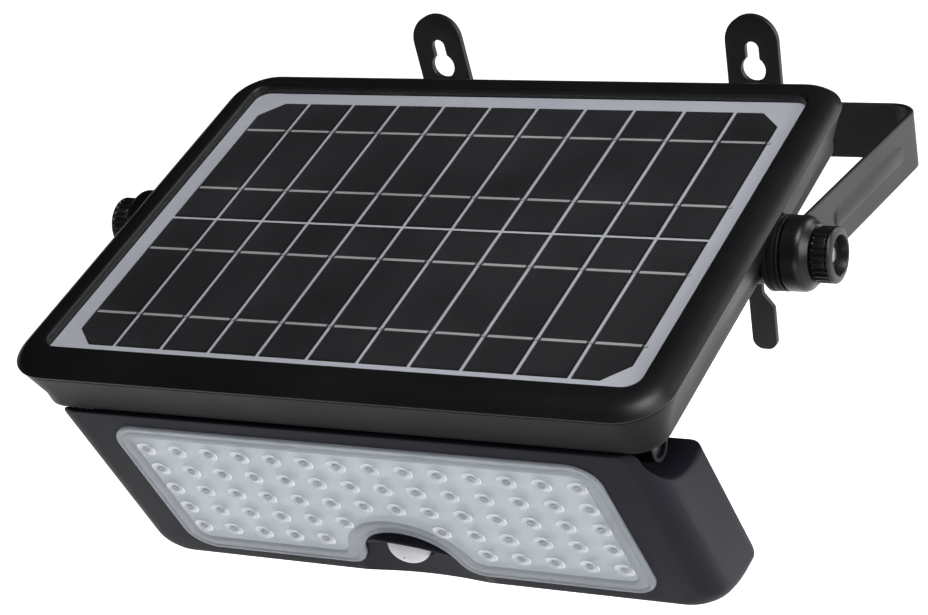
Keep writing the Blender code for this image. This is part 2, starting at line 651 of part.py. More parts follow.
def make_optics(lens, rubber, board_white):
    """Lens plate, its gasket and the LED board."""
    head = PIVOT["head"]
    add("lens_plate", plate(shifted(lens_outline(0)), [], FACE_Y - 1.0, FACE_Y + 1.5), lens, head)
    gasket = plate(shifted(lens_outline(0.8)), [shifted(lens_outline(4.2))], FACE_Y + 1.6, FACE_Y + 2.2)
    add("lens_gasket", gasket, rubber, head)
    corner = 5.0
    notch_x, notch_top = 19.0, -14.5
    board = arc(BOARD_X - corner, BOARD_Z - corner, corner, 0, 90, 2)
    board += arc(-BOARD_X + corner, BOARD_Z - corner, corner, 90, 180, 2)
    board += arc(-BOARD_X + corner, -BOARD_Z + corner, corner, 180, 270, 2)
    board += [(-notch_x, -BOARD_Z), (-notch_x, notch_top), (notch_x, notch_top), (notch_x, -BOARD_Z)]
    board += arc(BOARD_X - corner, -BOARD_Z + corner, corner, 270, 360, 2)
    holes = [circle(x, z - MID_Z, 1.6, 8) for x, z in board_screw_places()]
    add("led_board", plate(shifted(board), [shifted(hole) for hole in holes], FACE_Y + 3.5, FACE_Y + 5.1),
        board_white, head)


def make_head_hardware(zinc, rubber, sensor_white):
    """Sensor, hinge pins and washers, screws and the mode button."""
    head = PIVOT["head"]
    at = (0, 0, MID_Z + SENSOR_Z)
    outer = [(FACE_Y + 6, SENSOR_RADIUS), (FACE_Y + 1, 8.6), (FACE_Y - 1.8, 7.4), (FACE_Y - 3.6, 4.8),
             (FACE_Y - 4.2, 1.6)]
    inner = [(FACE_Y - 3.2, 1.4), (FACE_Y - 2.6, 4.2), (FACE_Y - 1.0, 6.5), (FACE_Y + 1.4, 7.6),
             (FACE_Y + 6, 7.7)]
    add("pir_dome", turned(outer + inner, 20, "Y", at), sensor_white, head)
    sensor = [(FACE_Y + 9.5, 4.6), (FACE_Y + 8.8, 4.6), (FACE_Y + 8.8, 4.1), (FACE_Y + 4.8, 4.1)]
    add("pir_sensor", turned(sensor, 12, "Y", at), zinc, head)

    def hinge(side, sign):
        pin = [(111.2, 4.4), (108.0, 4.4), (108.0, 2.4), (87.2, 2.4), (86.8, 2.0)]
        add("hinge_pin_" + side, turned(mirrored(pin, sign), 12), zinc, head)
        washer = [(97.3, 6.8), (99.2, 6.8), (99.2, 2.8), (97.3, 2.8)]
        add("hinge_washer_" + side, turned(mirrored(washer, sign), 16, closed=True), rubber, head)
        nut = [(91.6, 4.6), (87.8, 4.6), (87.8, 3.0), (91.6, 3.0)]
        add("hinge_nut_" + side, turned(mirrored(nut, sign), 6, closed=True), zinc, head)

    both_sides(hinge)
    for number, (x, z) in enumerate(board_screw_places(), 1):
        screw = [(FACE_Y + 2.2, 2.0), (FACE_Y + 3.3, 2.4), (FACE_Y + 3.3, 1.0), (FACE_Y + 11.0, 1.0)]
        add("board_screw_%d" % number, turned(screw, 8, "Y"), zinc, head, at=(x, 0, z))
    number = 0
    for sign in (-1, 1):
        for z in COVER_SCREWS_Z:
            number += 1
            screw = [(BACK_Y - 0.2, 2.8), (BACK_Y - 2.1, 2.8), (BACK_Y - 2.1, 1.2), (3.0, 1.2)]
            add("cover_screw_%d" % number, turned(screw, 8, "Y"), zinc, head,
                at=(sign * COVER_SCREWS_X, 0, z))
    flange = COVER_SEAM - 0.2
    button = [(BACK_Y + 1.2, 4.8), (BACK_Y + 0.6, 5.5), (flange, 5.5), (flange, 7.0), (flange - 1.0, 7.0)]
    add("mode_button", turned(button, 16, "Y"), rubber, head, at=(BUTTON_X, 0, MID_Z + BUTTON_Z))


# ---------------------------------------------------------------- build

for leftover in list(bpy.data.objects):
    bpy.data.objects.remove(leftover, do_unlink=True)

PIVOT = {"panel": empty("panel_pivot", (0, -PIVOT_DEPTH, 0), PANEL_TILT)}
PIVOT["head"] = empty("head_pivot", (0, HINGE_Y, HINGE_Z), HEAD_TILT, PIVOT["panel"])

housing_black = material("housing_black", (0.017, 0.016, 0.018), 0.38)
bracket_black = material("bracket_black", (0.014, 0.014, 0.015), 0.42, 0.1)
knob_black = material("knob_black", (0.010, 0.010, 0.011), 0.5)
zinc_steel = material("zinc_steel", (0.45, 0.45, 0.47), 0.32, 1.0)
brass_insert = material("brass_insert", (0.60, 0.45, 0.20), 0.35, 1.0)
black_rubber = material("black_rubber", (0.012, 0.012, 0.012), 0.75)
panel_glass = material("panel_glass", (0.85, 0.88, 0.92), 0.05)
cell_laminate = material("cell_laminate", (0.03, 0.03, 0.04), 0.25)
lens_clear = material("lens_clear", (0.75, 0.80, 0.86), 0.12)
board_white = material("board_white", (0.70, 0.73, 0.77), 0.45)
board_green = material("board_green", (0.03, 0.16, 0.07), 0.45)
cell_wrap = material("cell_wrap", (0.05, 0.14, 0.35), 0.35)
sensor_white = material("sensor_white", (0.78, 0.79, 0.82), 0.4)

make_bracket(bracket_black, zinc_steel, housing_black)
make_straps(bracket_black)
make_frame(housing_black)
make_tray(housing_black)
make_panel(panel_glass, cell_laminate, black_rubber)
make_electrics(cell_wrap, board_green, housing_black)
make_pivots(zinc_steel, black_rubber, knob_black, brass_insert)
make_housing_screws(zinc_steel)
make_front_case(housing_black)
make_rear_cover(housing_black)
make_optics(lens_clear, black_rubber, board_white)
make_head_hardware(zinc_steel, black_rubber, sensor_white)
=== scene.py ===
"""Looks of the solar flood light: fine shells, panel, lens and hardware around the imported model.

Lengths are in millimetres, and MM turns them into metres when a mesh is made. The bracket is drawn in the
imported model's own frame. The housing and the head are drawn about their joints, each in a frame that is
turned to its rest angle, with X to the right, Y back and Z up when the joint's angle is nought.
"""
import json
import math

import bmesh
import bpy
from mathutils import Matrix, Vector


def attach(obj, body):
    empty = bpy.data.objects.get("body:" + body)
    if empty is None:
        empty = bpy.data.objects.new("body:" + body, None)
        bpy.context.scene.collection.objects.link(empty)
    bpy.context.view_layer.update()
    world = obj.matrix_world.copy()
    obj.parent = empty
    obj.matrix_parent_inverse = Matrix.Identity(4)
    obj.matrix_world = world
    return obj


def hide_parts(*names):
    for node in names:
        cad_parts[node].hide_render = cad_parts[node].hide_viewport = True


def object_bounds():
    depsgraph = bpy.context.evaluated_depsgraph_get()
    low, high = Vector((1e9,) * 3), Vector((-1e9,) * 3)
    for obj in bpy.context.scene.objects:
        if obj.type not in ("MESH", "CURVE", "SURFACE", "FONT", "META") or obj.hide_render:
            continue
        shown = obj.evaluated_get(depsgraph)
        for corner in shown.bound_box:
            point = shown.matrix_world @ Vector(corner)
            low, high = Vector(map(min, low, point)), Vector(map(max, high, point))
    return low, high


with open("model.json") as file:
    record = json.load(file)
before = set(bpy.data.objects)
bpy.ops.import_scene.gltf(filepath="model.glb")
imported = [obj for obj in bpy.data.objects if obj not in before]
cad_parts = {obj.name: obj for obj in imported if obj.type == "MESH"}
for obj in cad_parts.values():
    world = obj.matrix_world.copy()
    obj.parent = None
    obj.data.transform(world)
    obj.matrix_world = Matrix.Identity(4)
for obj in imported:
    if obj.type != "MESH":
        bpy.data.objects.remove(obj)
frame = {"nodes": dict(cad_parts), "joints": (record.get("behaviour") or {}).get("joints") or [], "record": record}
cad_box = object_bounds()
JOINTS = {joint["name"]: joint for joint in frame["joints"]}

MM = 0.001

# ---- bracket and straps ----
SHEET = 2.0
STRIP_WIDTH = 22.0
ARM_FACE = 136.0
PIVOT_DEPTH = 125.0
BEND_RADIUS = 12.0
BOLT_SPACING = 67.5
STRAP_GAP = 0.2
STRAP_THICK = 2.5
STRAP_TOP = 45.5
STRAP_BOTTOM = 95.5
STRAP_LEAN = {"left": math.radians(-6.5), "right": math.radians(1.5)}
KEYHOLE_HEAD = 5.15
KEYHOLE_SLOT = 2.9
PIVOT_HOLE = 3.4
BOLT_HOLE = 2.8

# ---- solar housing, about the panel pivot ----
PANEL_TILT = math.radians(14.5)
CELL_PLANE = 16.4
PANEL_MIDDLE = -16.4
OPENING_X = 118.8
OPENING_Y = 85.1
OPENING_RADIUS = 6.0
LIP_TOP = 19.6
FRONT_LIP = 1.7
LEDGE = CELL_PLANE - 2.5
SEAM = 14.5
SEAM_GAP = 0.3
TRAY_BOTTOM = -3.6
WALL = 2.2
BOSS_RADIUS = 13.5
BOSS_FACE = 132.0
POST_X = 85.0
POST_Y = 79.1

# ---- solar cells ----
COLUMNS = 11
COLUMN_PITCH = 20.3
STRING_HEIGHT = 78.2
CELL_GAP = 1.4
CELL_CHAMFER = 8.5
FINGER_PITCH = 1.05
RIBBON_WIDTH = 1.3

# ---- clamp and knob, along X ----
CUP_RADIUS = 13.3
CUP_MOUTH = 132.6
CUP_END = 142.0
KNOB_START = 142.4
KNOB_END = 150.2
KNOB_TEETH = 26

# ---- lamp head, about the head hinge ----
HEAD_TILT = math.radians(15.0)
HINGE_Y = -85.3
HINGE_Z = -17.2
HEAD_X = 118.8
SIDE_EDGE = 8.8
FACE_EDGE = 1.8
BACK_EDGE = 5.5
FACE_Y = -18.5
BACK_Y = 14.5
COVER_SEAM = 10.8
MID_Z = -27.0
FACE_BOTTOM = -71.8
KNEE_Y = -2.5
KNEE_BOTTOM = -82.8
BACK_BOTTOM = -86.2
HEAD_CORNER = 10.2
BARREL = 12.8
CAVITY_X = 94.5
POCKET_X = 97.0
SCOOP_RADIUS = 32.0
SCOOP_Y = 15.5
SCOOP_Z = 15.0
LUG_INNER = 99.5
LUG_OUTER = 112.5
LUG_RADIUS = 6.2
LUG_SPLAY = 3.5
COVER_SCREWS_X = 104.0
COVER_SCREWS_Z = (-33.0, -70.5)
BUTTON_X = 60.0
BUTTON_Z = -25.0

# ---- lens, board and sensor, about the middle of the LED field ----
PITCH_X = 13.47
PITCH_Z = 12.39
LENS_X = 98.0
LENS_Z = 38.5
LENS_CORNER = 11.0
ARCH_RADIUS = 20.0
ARCH_Z = -35.2
FLARE = 9.0
SENSOR_Z = -26.4
SENSOR_RADIUS = 8.2
LED_RADIUS = 3.95
LED_COLUMNS = 14
LED_ROWS = 5
BOARD_X = 91.5
BOARD_Z = 37.0
BOARD_SCREWS = ([(column, -2.5) for column in (-6, -2, 2, 6)]
                + [(column, 2.35) for column in (-6, -3, 3, 6)] + [(0, 0.5)])

BRACKET = Matrix.Identity(4)
PANEL = Matrix.Translation(JOINTS["panel_tilt"]["pos_m"]) @ Matrix.Rotation(PANEL_TILT, 4, "X")
HEAD = Matrix.Translation(JOINTS["head_tilt"]["pos_m"]) @ Matrix.Rotation(PANEL_TILT + HEAD_TILT, 4, "X")


# ---------------------------------------------------------------- camera

CAMERA_LENS = 110.94
CAMERA_PLACE = Vector((0.51419, -0.96883, 0.35559))
CAMERA_AIM = Vector((0.01783, -0.15760, -0.01311))
CAMERA_ROLL = math.radians(-9.1)


def make_camera():
    """A long lens, in front of the lamp on its right and above it, rolled a little."""
    data = bpy.data.cameras.new("camera")
    data.sensor_width = 36.0
    data.lens = CAMERA_LENS
    made = bpy.data.objects.new("camera", data)
    look = (CAMERA_AIM - CAMERA_PLACE).to_track_quat("-Z", "Y").to_matrix()
    turn = look @ Matrix.Rotation(CAMERA_ROLL, 3, "Z")
    made.matrix_world = Matrix.Translation(CAMERA_PLACE) @ turn.to_4x4()
    bpy.context.scene.collection.objects.link(made)
    bpy.context.scene.camera = made


# ---------------------------------------------------------------- outlines

def arc(cx, cy, radius, start, end, steps):
    """Points on an arc, with angles in degrees."""
    points = []
    for i in range(steps + 1):
        angle = math.radians(start + (end - start) * i / steps)
        points.append((cx + radius * math.cos(angle), cy + radius * math.sin(angle)))
    return points


def rounded_box(half_x, low, high, radius_low, radius_high, steps=10):
    """A closed outline with its own corner radius at the low and the high side."""
    points = arc(half_x - radius_high, high - radius_high, radius_high, 0, 90, steps)
    points += arc(-half_x + radius_high, high - radius_high, radius_high, 90, 180, steps)
    points += arc(-half_x + radius_low, low + radius_low, radius_low, 180, 270, steps)
    points += arc(half_x - radius_low, low + radius_low, radius_low, 270, 360, steps)
    return points


def circle(cx, cy, radius, sides):
    """A closed circle."""
    return arc(cx, cy, radius, 0, 360, sides)[:-1]


def lens_outline(inset, corner_steps=10, arch_steps=24, flare_steps=8):
    """The lens's outline about the LED field's middle: a rounded box with an arch over the sensor."""
    half_x = LENS_X - inset
    half_z = LENS_Z - inset
    corner = max(LENS_CORNER - inset, 2.0)
    arch = ARCH_RADIUS + inset
    flare = FLARE - inset / 2
    rise = flare - half_z - ARCH_Z
    flare_x = math.sqrt((arch + flare) ** 2 - rise ** 2)
    turn = math.degrees(math.atan2(rise, flare_x))
    points = arc(half_x - corner, half_z - corner, corner, 0, 90, corner_steps)
    points += arc(-half_x + corner, half_z - corner, corner, 90, 180, corner_steps)
    points += arc(-half_x + corner, -half_z + corner, corner, 180, 270, corner_steps)
    points += arc(-flare_x, -half_z + flare, flare, 270, 360 - turn, flare_steps)
    points += arc(0, ARCH_Z, arch, 180 - turn, turn, arch_steps)[1:-1]
    points += arc(flare_x, -half_z + flare, flare, 180 + turn, 270, flare_steps)
    points += arc(half_x - corner, -half_z + corner, corner, 270, 360, corner_steps)
    return points


def head_level(outline):
    """An outline about the LED field's middle, moved to the head's frame."""
    return [(x, z + MID_Z) for x, z in outline]


# ---------------------------------------------------------------- meshes

def loft(rings, closed=False):
    """Join rings of points with quads, and cap the ends unless the last ring joins the first."""
    mesh = bmesh.new()
    loops = [[mesh.verts.new(Vector(point) * MM) for point in ring] for ring in rings]
    pairs = list(zip(loops, loops[1:]))
    if closed:
        pairs.append((loops[-1], loops[0]))
    else:
        mesh.faces.new(loops[0])
        mesh.faces.new(loops[-1])
    for low, high in pairs:
        for i in range(len(low)):
            j = (i + 1) % len(low)
            mesh.faces.new((low[i], low[j], high[j], high[i]))
    bmesh.ops.recalc_face_normals(mesh, faces=mesh.faces)
    return mesh


def level_rings(rings):
    """Rings in XY planes, each given as its outline and its height."""
    return [[(x, y, z) for x, y in outline] for outline, z in rings]


def upright_rings(rings):
    """Rings in XZ planes, each given as its outline and its depth along Y."""
    return [[(x, y, z) for x, z in outline] for outline, y in rings]


def turned(profile, sides=64, axis="X", at=(0, 0, 0), closed=False, groove=None):
    """A turned piece. The profile lists (place along the axis, radius); groove cuts into half the points."""
    rings = []
    for number, (along, radius) in enumerate(profile):
        ring = []
        for i in range(sides):
            angle = 2 * math.pi * i / sides
            here = radius - (groove[number] * (i % 4 in (2, 3)) if groove else 0)
            across, up = here * math.cos(angle), here * math.sin(angle)
            point = {"X": (along, across, up), "Y": (across, along, up), "Z": (across, up, along)}[axis]
            ring.append(tuple(a + b for a, b in zip(point, at)))
        rings.append(ring)
    return loft(rings, closed)


def box(low, high):
    """A box between two corners, used as a cutter or as a thin strip."""
    outline = [(low[0], low[1]), (high[0], low[1]), (high[0], high[1]), (low[0], high[1])]
    return loft(level_rings([(outline, low[2]), (outline, high[2])]))


def plate(outline, holes, low, high, axis="Y"):
    """A flat plate with holes, between two places along its axis."""
    mesh = bmesh.new()
    for loop in [outline] + holes:
        corners = [mesh.verts.new((u, v, 0)) for u, v in loop]
        for i, corner in enumerate(corners):
            mesh.edges.new((corner, corners[(i + 1) % len(corners)]))
    bmesh.ops.triangle_fill(mesh, use_beauty=True, use_dissolve=False, edges=mesh.edges[:])
    grown = bmesh.ops.extrude_face_region(mesh, geom=mesh.faces[:])["geom"]
    top = {item for item in grown if isinstance(item, bmesh.types.BMVert)}
    for vert in mesh.verts:
        u, v = vert.co.x, vert.co.y
        along = high if vert in top else low
        place = {"X": (along, u, v), "Y": (u, along, v), "Z": (u, v, along)}[axis]
        vert.co = Vector(place) * MM
    bmesh.ops.recalc_face_normals(mesh, faces=mesh.faces)
    return mesh


def joined(meshes):
    """Several closed meshes in one, kept apart."""
    whole = bmesh.new()
    for mesh in meshes:
        data = bpy.data.meshes.new("piece")
        mesh.to_mesh(data)
        mesh.free()
        whole.from_mesh(data)
        bpy.data.meshes.remove(data)
    return whole


def mirrored(profile, sign):
    """A turned profile moved to its side of the middle."""
    return [(along * sign, radius) for along, radius in profile]


# ---------------------------------------------------------------- pieces

def link(name, mesh, place):
    """A bare object from a mesh, standing in the given frame."""
    data = bpy.data.meshes.new(name)
    mesh.to_mesh(data)
    mesh.free()
    made = bpy.data.objects.new(name, data)
    made.matrix_world = place
    bpy.context.scene.collection.objects.link(made)
    return made


def applied(made):
    """Turn an object's modifiers into its mesh."""
    bpy.context.view_layer.update()
    seen = made.evaluated_get(bpy.context.evaluated_depsgraph_get())
    data = bpy.data.meshes.new_from_object(seen)
    made.modifiers.clear()
    old = made.data
    made.data = data
    bpy.data.meshes.remove(old)


def boolean(made, mesh, operation):
    """Join a mesh on, or cut it out, at once."""
    tool = link("tool", mesh, made.matrix_world.copy())
    change = made.modifiers.new("tool", "BOOLEAN")
    change.object = tool
    change.operation = operation
    change.solver = "EXACT"
    applied(made)
    data = tool.data
    bpy.data.objects.remove(tool)
    bpy.data.meshes.remove(data)


def piece(name, mesh, place, body, look, replaces=(), joins=(), cuts=(), bevel=0.0, sharp=35.0):
    """A finished piece: mesh work, soft edges, material, and the CAD body that it rides on."""
    made = link(name, mesh, place)
    for tool in joins:
        boolean(made, tool, "UNION")
    for tool in cuts:
        boolean(made, tool, "DIFFERENCE")
    if bevel:
        change = made.modifiers.new("edges", "BEVEL")
        change.width = bevel * MM
        change.segments = 3
        change.limit_method = "ANGLE"
        change.angle_limit = math.radians(40)
        change.miter_outer = "MITER_ARC"
        change.use_clamp_overlap = True
        applied(made)
    made.data.materials.clear()
    made.data.materials.append(FINISH[look])
    made.data.shade_smooth()
    made.data.set_sharp_from_angle(angle=math.radians(sharp))
    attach(made, body)
    if replaces:
        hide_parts(*replaces)
    return made


def both_sides(make):
    """Call make with the side's name and its sign along X."""
    for side, sign in (("left", -1), ("right", 1)):
        make(side, sign)


# ---------------------------------------------------------------- materials

def start(name):
    """A new material, and the parts that each one is built from."""
    made = bpy.data.materials.new(name)
    made.use_nodes = True
    tree = made.node_tree
    shader = tree.nodes["Principled BSDF"]
    place = tree.nodes.new("ShaderNodeTexCoord").outputs["Object"]
    return made, tree, shader, place


def noise(tree, place, size, detail=3.0):
    """Noise whose features are about this many millimetres across."""
    made = tree.nodes.new("ShaderNodeTexNoise")
    made.inputs["Scale"].default_value = 1.0 / (size * MM)
    made.inputs["Detail"].default_value = detail
    tree.links.new(place, made.inputs["Vector"])
    return made.outputs["Fac"]


def mapped(tree, value, source, target, ease="LINEAR"):
    """A value moved from one range, given as its low and high end, to another."""
    made = tree.nodes.new("ShaderNodeMapRange")
    made.interpolation_type = ease
    for name, number in zip(("From Min", "From Max", "To Min", "To Max"), (*source, *target)):
        made.inputs[name].default_value = number
    tree.links.new(value, made.inputs["Value"])
    return made.outputs["Result"]


def spread(tree, value, low, high):
    """A value from 0.3 to 0.7, as noise gives it, stretched to low and high."""
    return mapped(tree, value, (0.3, 0.7), (low, high))


def worked(tree, operation, value, *numbers):
    """One step of arithmetic on a value, with plain numbers for its other inputs."""
    made = tree.nodes.new("ShaderNodeMath")
    made.operation = operation
    tree.links.new(value, made.inputs[0])
    for place, number in enumerate(numbers, 1):
        made.inputs[place].default_value = number
    return made.outputs["Value"]


def blended(tree, factor, one, other):
    """A colour between two, as the factor says."""
    made = tree.nodes.new("ShaderNodeMix")
    made.data_type = "RGBA"
    made.inputs["A"].default_value = (*one, 1.0)
    made.inputs["B"].default_value = (*other, 1.0)
    tree.links.new(factor, made.inputs["Factor"])
    return made.outputs["Result"]


def surface(name, colour, roughness, grain=0.5, depth=0.01, vary=0.15, soften=0.0, **inputs):
    """A moulded, painted or plated surface: fine grain, and slow changes of colour and gloss."""
    made, tree, shader, place = start(name)
    slow = noise(tree, place, 35.0)
    fine = noise(tree, place, grain, 2.0)
    lighter = [min(value * (1 + vary), 1.0) for value in colour]
    darker = [value * (1 - vary) for value in colour]
    tree.links.new(blended(tree, spread(tree, slow, 0, 1), darker, lighter), shader.inputs["Base Color"])
    tree.links.new(spread(tree, slow, roughness * 0.92, roughness * 1.08), shader.inputs["Roughness"])
    bump = tree.nodes.new("ShaderNodeBump")
    bump.inputs["Strength"].default_value = 1.0
    bump.inputs["Distance"].default_value = depth * MM
    tree.links.new(fine, bump.inputs["Height"])
    if soften:
        edge = tree.nodes.new("ShaderNodeBevel")
        edge.samples = 4
        edge.inputs["Radius"].default_value = soften * MM
        tree.links.new(edge.outputs["Normal"], bump.inputs["Normal"])
    tree.links.new(bump.outputs["Normal"], shader.inputs["Normal"])
    for key, value in inputs.items():
        shader.inputs[key.replace("_", " ")].default_value = value
    return made


def clear_glass(name):
    """Thin cover glass: clear, with a soft reflection that grows at shallow angles."""
    made, tree, shader, place = start(name)
    tree.nodes.remove(shader)
    clear = tree.nodes.new("ShaderNodeBsdfTransparent")
    gloss = tree.nodes.new("ShaderNodeBsdfGlossy")
    facing = tree.nodes.new("ShaderNodeLayerWeight")
    facing.inputs["Blend"].default_value = 0.5
    steep = worked(tree, "POWER", facing.outputs["Facing"], 4.0)
    share = worked(tree, "MULTIPLY_ADD", steep, 0.5, 0.03)
    tree.links.new(spread(tree, noise(tree, place, 60.0), 0.10, 0.16), gloss.inputs["Roughness"])
    mix = tree.nodes.new("ShaderNodeMixShader")
    tree.links.new(share, mix.inputs["Fac"])
    tree.links.new(clear.outputs["BSDF"], mix.inputs[1])
    tree.links.new(gloss.outputs["BSDF"], mix.inputs[2])
    tree.links.new(mix.outputs["Shader"], tree.nodes["Material Output"].inputs["Surface"])
    return made


# Painted highlight: the LED cups' base colour turns white on slopes that lean along this axis of the head.
PAINTED_GLINT_AXIS = (-0.557, 0.0, 0.830)


def cup_with_painted_glints(name, field, painted_highlight_colour):
    """A reflector cup with painted glints: slopes that lean along the glint axis, either way, get a white base
    colour, a painted highlight that stays put when the lights move.
    """
    made, tree, shader, place = start(name)
    lean = tree.nodes.new("ShaderNodeVectorMath")
    lean.operation = "DOT_PRODUCT"
    lean.inputs[1].default_value = PAINTED_GLINT_AXIS
    tree.links.new(tree.nodes.new("ShaderNodeTexCoord").outputs["Normal"], lean.inputs[0])
    size = worked(tree, "ABSOLUTE", lean.outputs["Value"])
    # Painted glint: how far a slope leans along the axis sets how much white is painted into its colour.
    glint = mapped(tree, size, (0.05, 0.20), (0.0, 1.0), "SMOOTHSTEP")
    tree.links.new(blended(tree, glint, field, painted_highlight_colour), shader.inputs["Base Color"])
    tree.links.new(spread(tree, noise(tree, place, 1.2), 0.10, 0.20), shader.inputs["Roughness"])
    shader.inputs["Specular IOR Level"].default_value = 0.8
    return made


FINISH = {}


def finish(name, *looks, **inputs):
    """A plain surface, kept under its name."""
    FINISH[name] = surface(name, *looks, **inputs)


finish("housing_black", (0.0060, 0.0054, 0.0066), 0.46, 0.6, 0.004, soften=0.3, Specular_IOR_Level=0.12)
finish("bezel_black", (0.0060, 0.0054, 0.0062), 0.38, 0.6, 0.003, Specular_IOR_Level=0.32)
finish("head_black", (0.0100, 0.0100, 0.0165), 0.52, 0.5, 0.006, soften=0.4, Specular_IOR_Level=0.13)
finish("clamp_black", (0.0045, 0.0045, 0.0050), 0.34, 0.7, 0.003, soften=0.3, Specular_IOR_Level=0.35)
finish("bracket_black", (0.0070, 0.0070, 0.0074), 0.50, 0.9, 0.02, Specular_IOR_Level=0.35)
finish("knob_black", (0.0060, 0.0060, 0.0065), 0.40, 0.4, 0.008, Specular_IOR_Level=0.4)
finish("dark_steel", (0.05, 0.05, 0.055), 0.40, 0.3, 0.004, Metallic=0.8)
finish("zinc_steel", (0.36, 0.36, 0.38), 0.34, 0.3, 0.004, Metallic=1.0)
finish("board_screw", (0.035, 0.035, 0.040), 0.40, 0.3, 0.004, Metallic=0.5)
finish("brass_insert", (0.60, 0.45, 0.20), 0.34, 0.3, 0.004, Metallic=1.0)
finish("black_rubber", (0.0120, 0.0120, 0.0120), 0.72, 0.3, 0.01)
FINISH["panel_glass"] = clear_glass("panel_glass")
finish("backsheet", (0.50, 0.52, 0.57), 0.55, 0.8, 0.01, 0.04)
finish("cell_laminate", (0.0105, 0.0095, 0.0115), 0.40, 2.0, 0.004, 0.3)
finish("ribbon", (0.42, 0.42, 0.43), 0.50, 0.5, 0.01, 0.12, Metallic=0.1)
finish("finger", (0.11, 0.11, 0.12), 0.5, 0.5, 0.005, 0.2, Metallic=0.3)
finish("solder", (0.05, 0.05, 0.055), 0.5, 0.5, 0.01, 0.2)
finish("lens_clear", (0.80, 0.88, 0.95), 0.24, 1.2, 0.01, 0.04, Alpha=0.46)
finish("lens_rim", (0.50, 0.54, 0.60), 0.20, 1.2, 0.01, 0.06, Alpha=0.55)
# The LED cups carry painted glints in their base colour.
FINISH["led_cup"] = cup_with_painted_glints("led_cup", (0.50, 0.56, 0.62), (1.00, 1.00, 1.00))
finish("led_eye", (0.34, 0.37, 0.41), 0.20, 0.5, 0.004, 0.10)
finish("led_dome", (0.90, 0.93, 0.96), 0.06, 1.5, 0.002, 0.02, Alpha=0.14, IOR=1.7)
finish("board_white", (0.86, 0.89, 0.92), 0.45, 0.7, 0.01, 0.05)
finish("board_green", (0.03, 0.16, 0.07), 0.45, 0.7, 0.01)
finish("cell_wrap", (0.05, 0.14, 0.35), 0.35, 1.0, 0.01)
finish("phosphor", (0.84, 0.82, 0.70), 0.4, 0.3, 0.01)
finish("sensor_white", (0.66, 0.66, 0.70), 0.38, 1.0, 0.01, 0.04)


def dress_cad_nodes():
    """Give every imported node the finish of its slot."""
    for part in frame["record"]["subparts"]:
        node = frame["nodes"][part["node"]]
        node.data.materials.clear()
        node.data.materials.append(FINISH[part["material_slot"]])


# ---------------------------------------------------------------- bracket and straps

def arm_strip():
    """The U strip: its outline is swept round the two bends."""
    half = STRIP_WIDTH / 2
    edge = 0.45
    stations = [(-ARM_FACE, -PIVOT_DEPTH)]
    centre = ARM_FACE - BEND_RADIUS
    stations += [(-ARM_FACE, y) for y in (-95.0, -60.0, -BEND_RADIUS - 6)]
    stations += arc(-centre, -BEND_RADIUS, BEND_RADIUS, 180, 90, 12)
    stations += [(x, 0.0) for x in (-BOLT_SPACING, 0.0, BOLT_SPACING)]
    stations += arc(centre, -BEND_RADIUS, BEND_RADIUS, 90, 0, 12)
    stations += [(ARM_FACE, y) for y in (-BEND_RADIUS - 6, -60.0, -95.0, -PIVOT_DEPTH)]
    rings = []
    for i, (x, y) in enumerate(stations):
        before = Vector(stations[max(i - 1, 0)])
        after = Vector(stations[min(i + 1, len(stations) - 1)])
        along = (after - before).normalized()
        inward = Vector((along.y, -along.x))
        section = []
        for depth, z in ((0.0, half - edge), (edge, half), (SHEET - edge, half), (SHEET, half - edge),
                         (SHEET, edge - half), (SHEET - edge, -half), (edge, -half), (0.0, edge - half)):
            section.append((x + inward.x * depth, y + inward.y * depth, z))
        rings.append(section)
    return loft(rings)


def make_bracket():
    """The U bracket with round arm ends and embossed beads, and the strap bolts and nuts."""
    half = STRIP_WIDTH / 2
    joins = []
    cuts = []
    for sign in (-1, 1):
        inner, outer = sorted((sign * (ARM_FACE - SHEET), sign * ARM_FACE))
        ring = [(inner, half - 0.4), (inner + 0.4, half), (outer - 0.4, half), (outer, half - 0.4)]
        joins.append(turned(ring, 48, at=(0, -PIVOT_DEPTH, 0)))
        through = [(sign * (ARM_FACE - SHEET - 1), PIVOT_HOLE), (sign * (ARM_FACE + 1), PIVOT_HOLE)]
        cuts.append(turned(through, 32, at=(0, -PIVOT_DEPTH, 0)))
        cuts.append(turned([(-SHEET - 1, BOLT_HOLE), (1, BOLT_HOLE)], 32, "Y", (sign * BOLT_SPACING, 0, 0)))
        rings = []
        for half_width, out in ((3.3, -0.5), (3.3, 0.0), (3.1, 0.2), (2.7, 0.42), (2.2, 0.55)):
            stadium = arc(-28, 0, half_width, -90, 90, 12) + arc(-91, 0, half_width, 90, 270, 12)
            rings.append([(sign * (ARM_FACE + out), y, z) for y, z in stadium])
        joins.append(loft(rings))
    piece("bracket_strip", arm_strip(), BRACKET, "bracket", "bracket_black",
          ["u_bracket"], joins, cuts)

    def fixing(side, sign):
        at = (sign * BOLT_SPACING, 0, 0)
        back = STRAP_GAP + STRAP_THICK
        thread = []
        y = -3.0
        while y > -7.4:
            thread += [(y, 2.4), (y - 0.3, 2.1), (y - 0.6, 2.4)]
            y -= 0.6
        bolt = [(back, 1.6), (back, 4.6), (back - 0.4, 4.6), (0.6, 2.4)] + thread + [(-8.0, 1.9)]
        piece("strap_bolt_fine_" + side, turned(bolt, 32, "Y", at), BRACKET, "bracket", "zinc_steel",
              ["strap_bolt_" + side])
        hexagon = circle(0, 0, 4.6, 6)
        nut = plate(hexagon, [circle(0, 0, 2.7, 24)], -6.3, -2.3)
        bmesh.ops.translate(nut, vec=Vector(at) * MM, verts=nut.verts)
        piece("strap_nut_fine_" + side, nut, BRACKET, "bracket", "zinc_steel",
              ["strap_nut_" + side], bevel=0.25)

    both_sides(fixing)


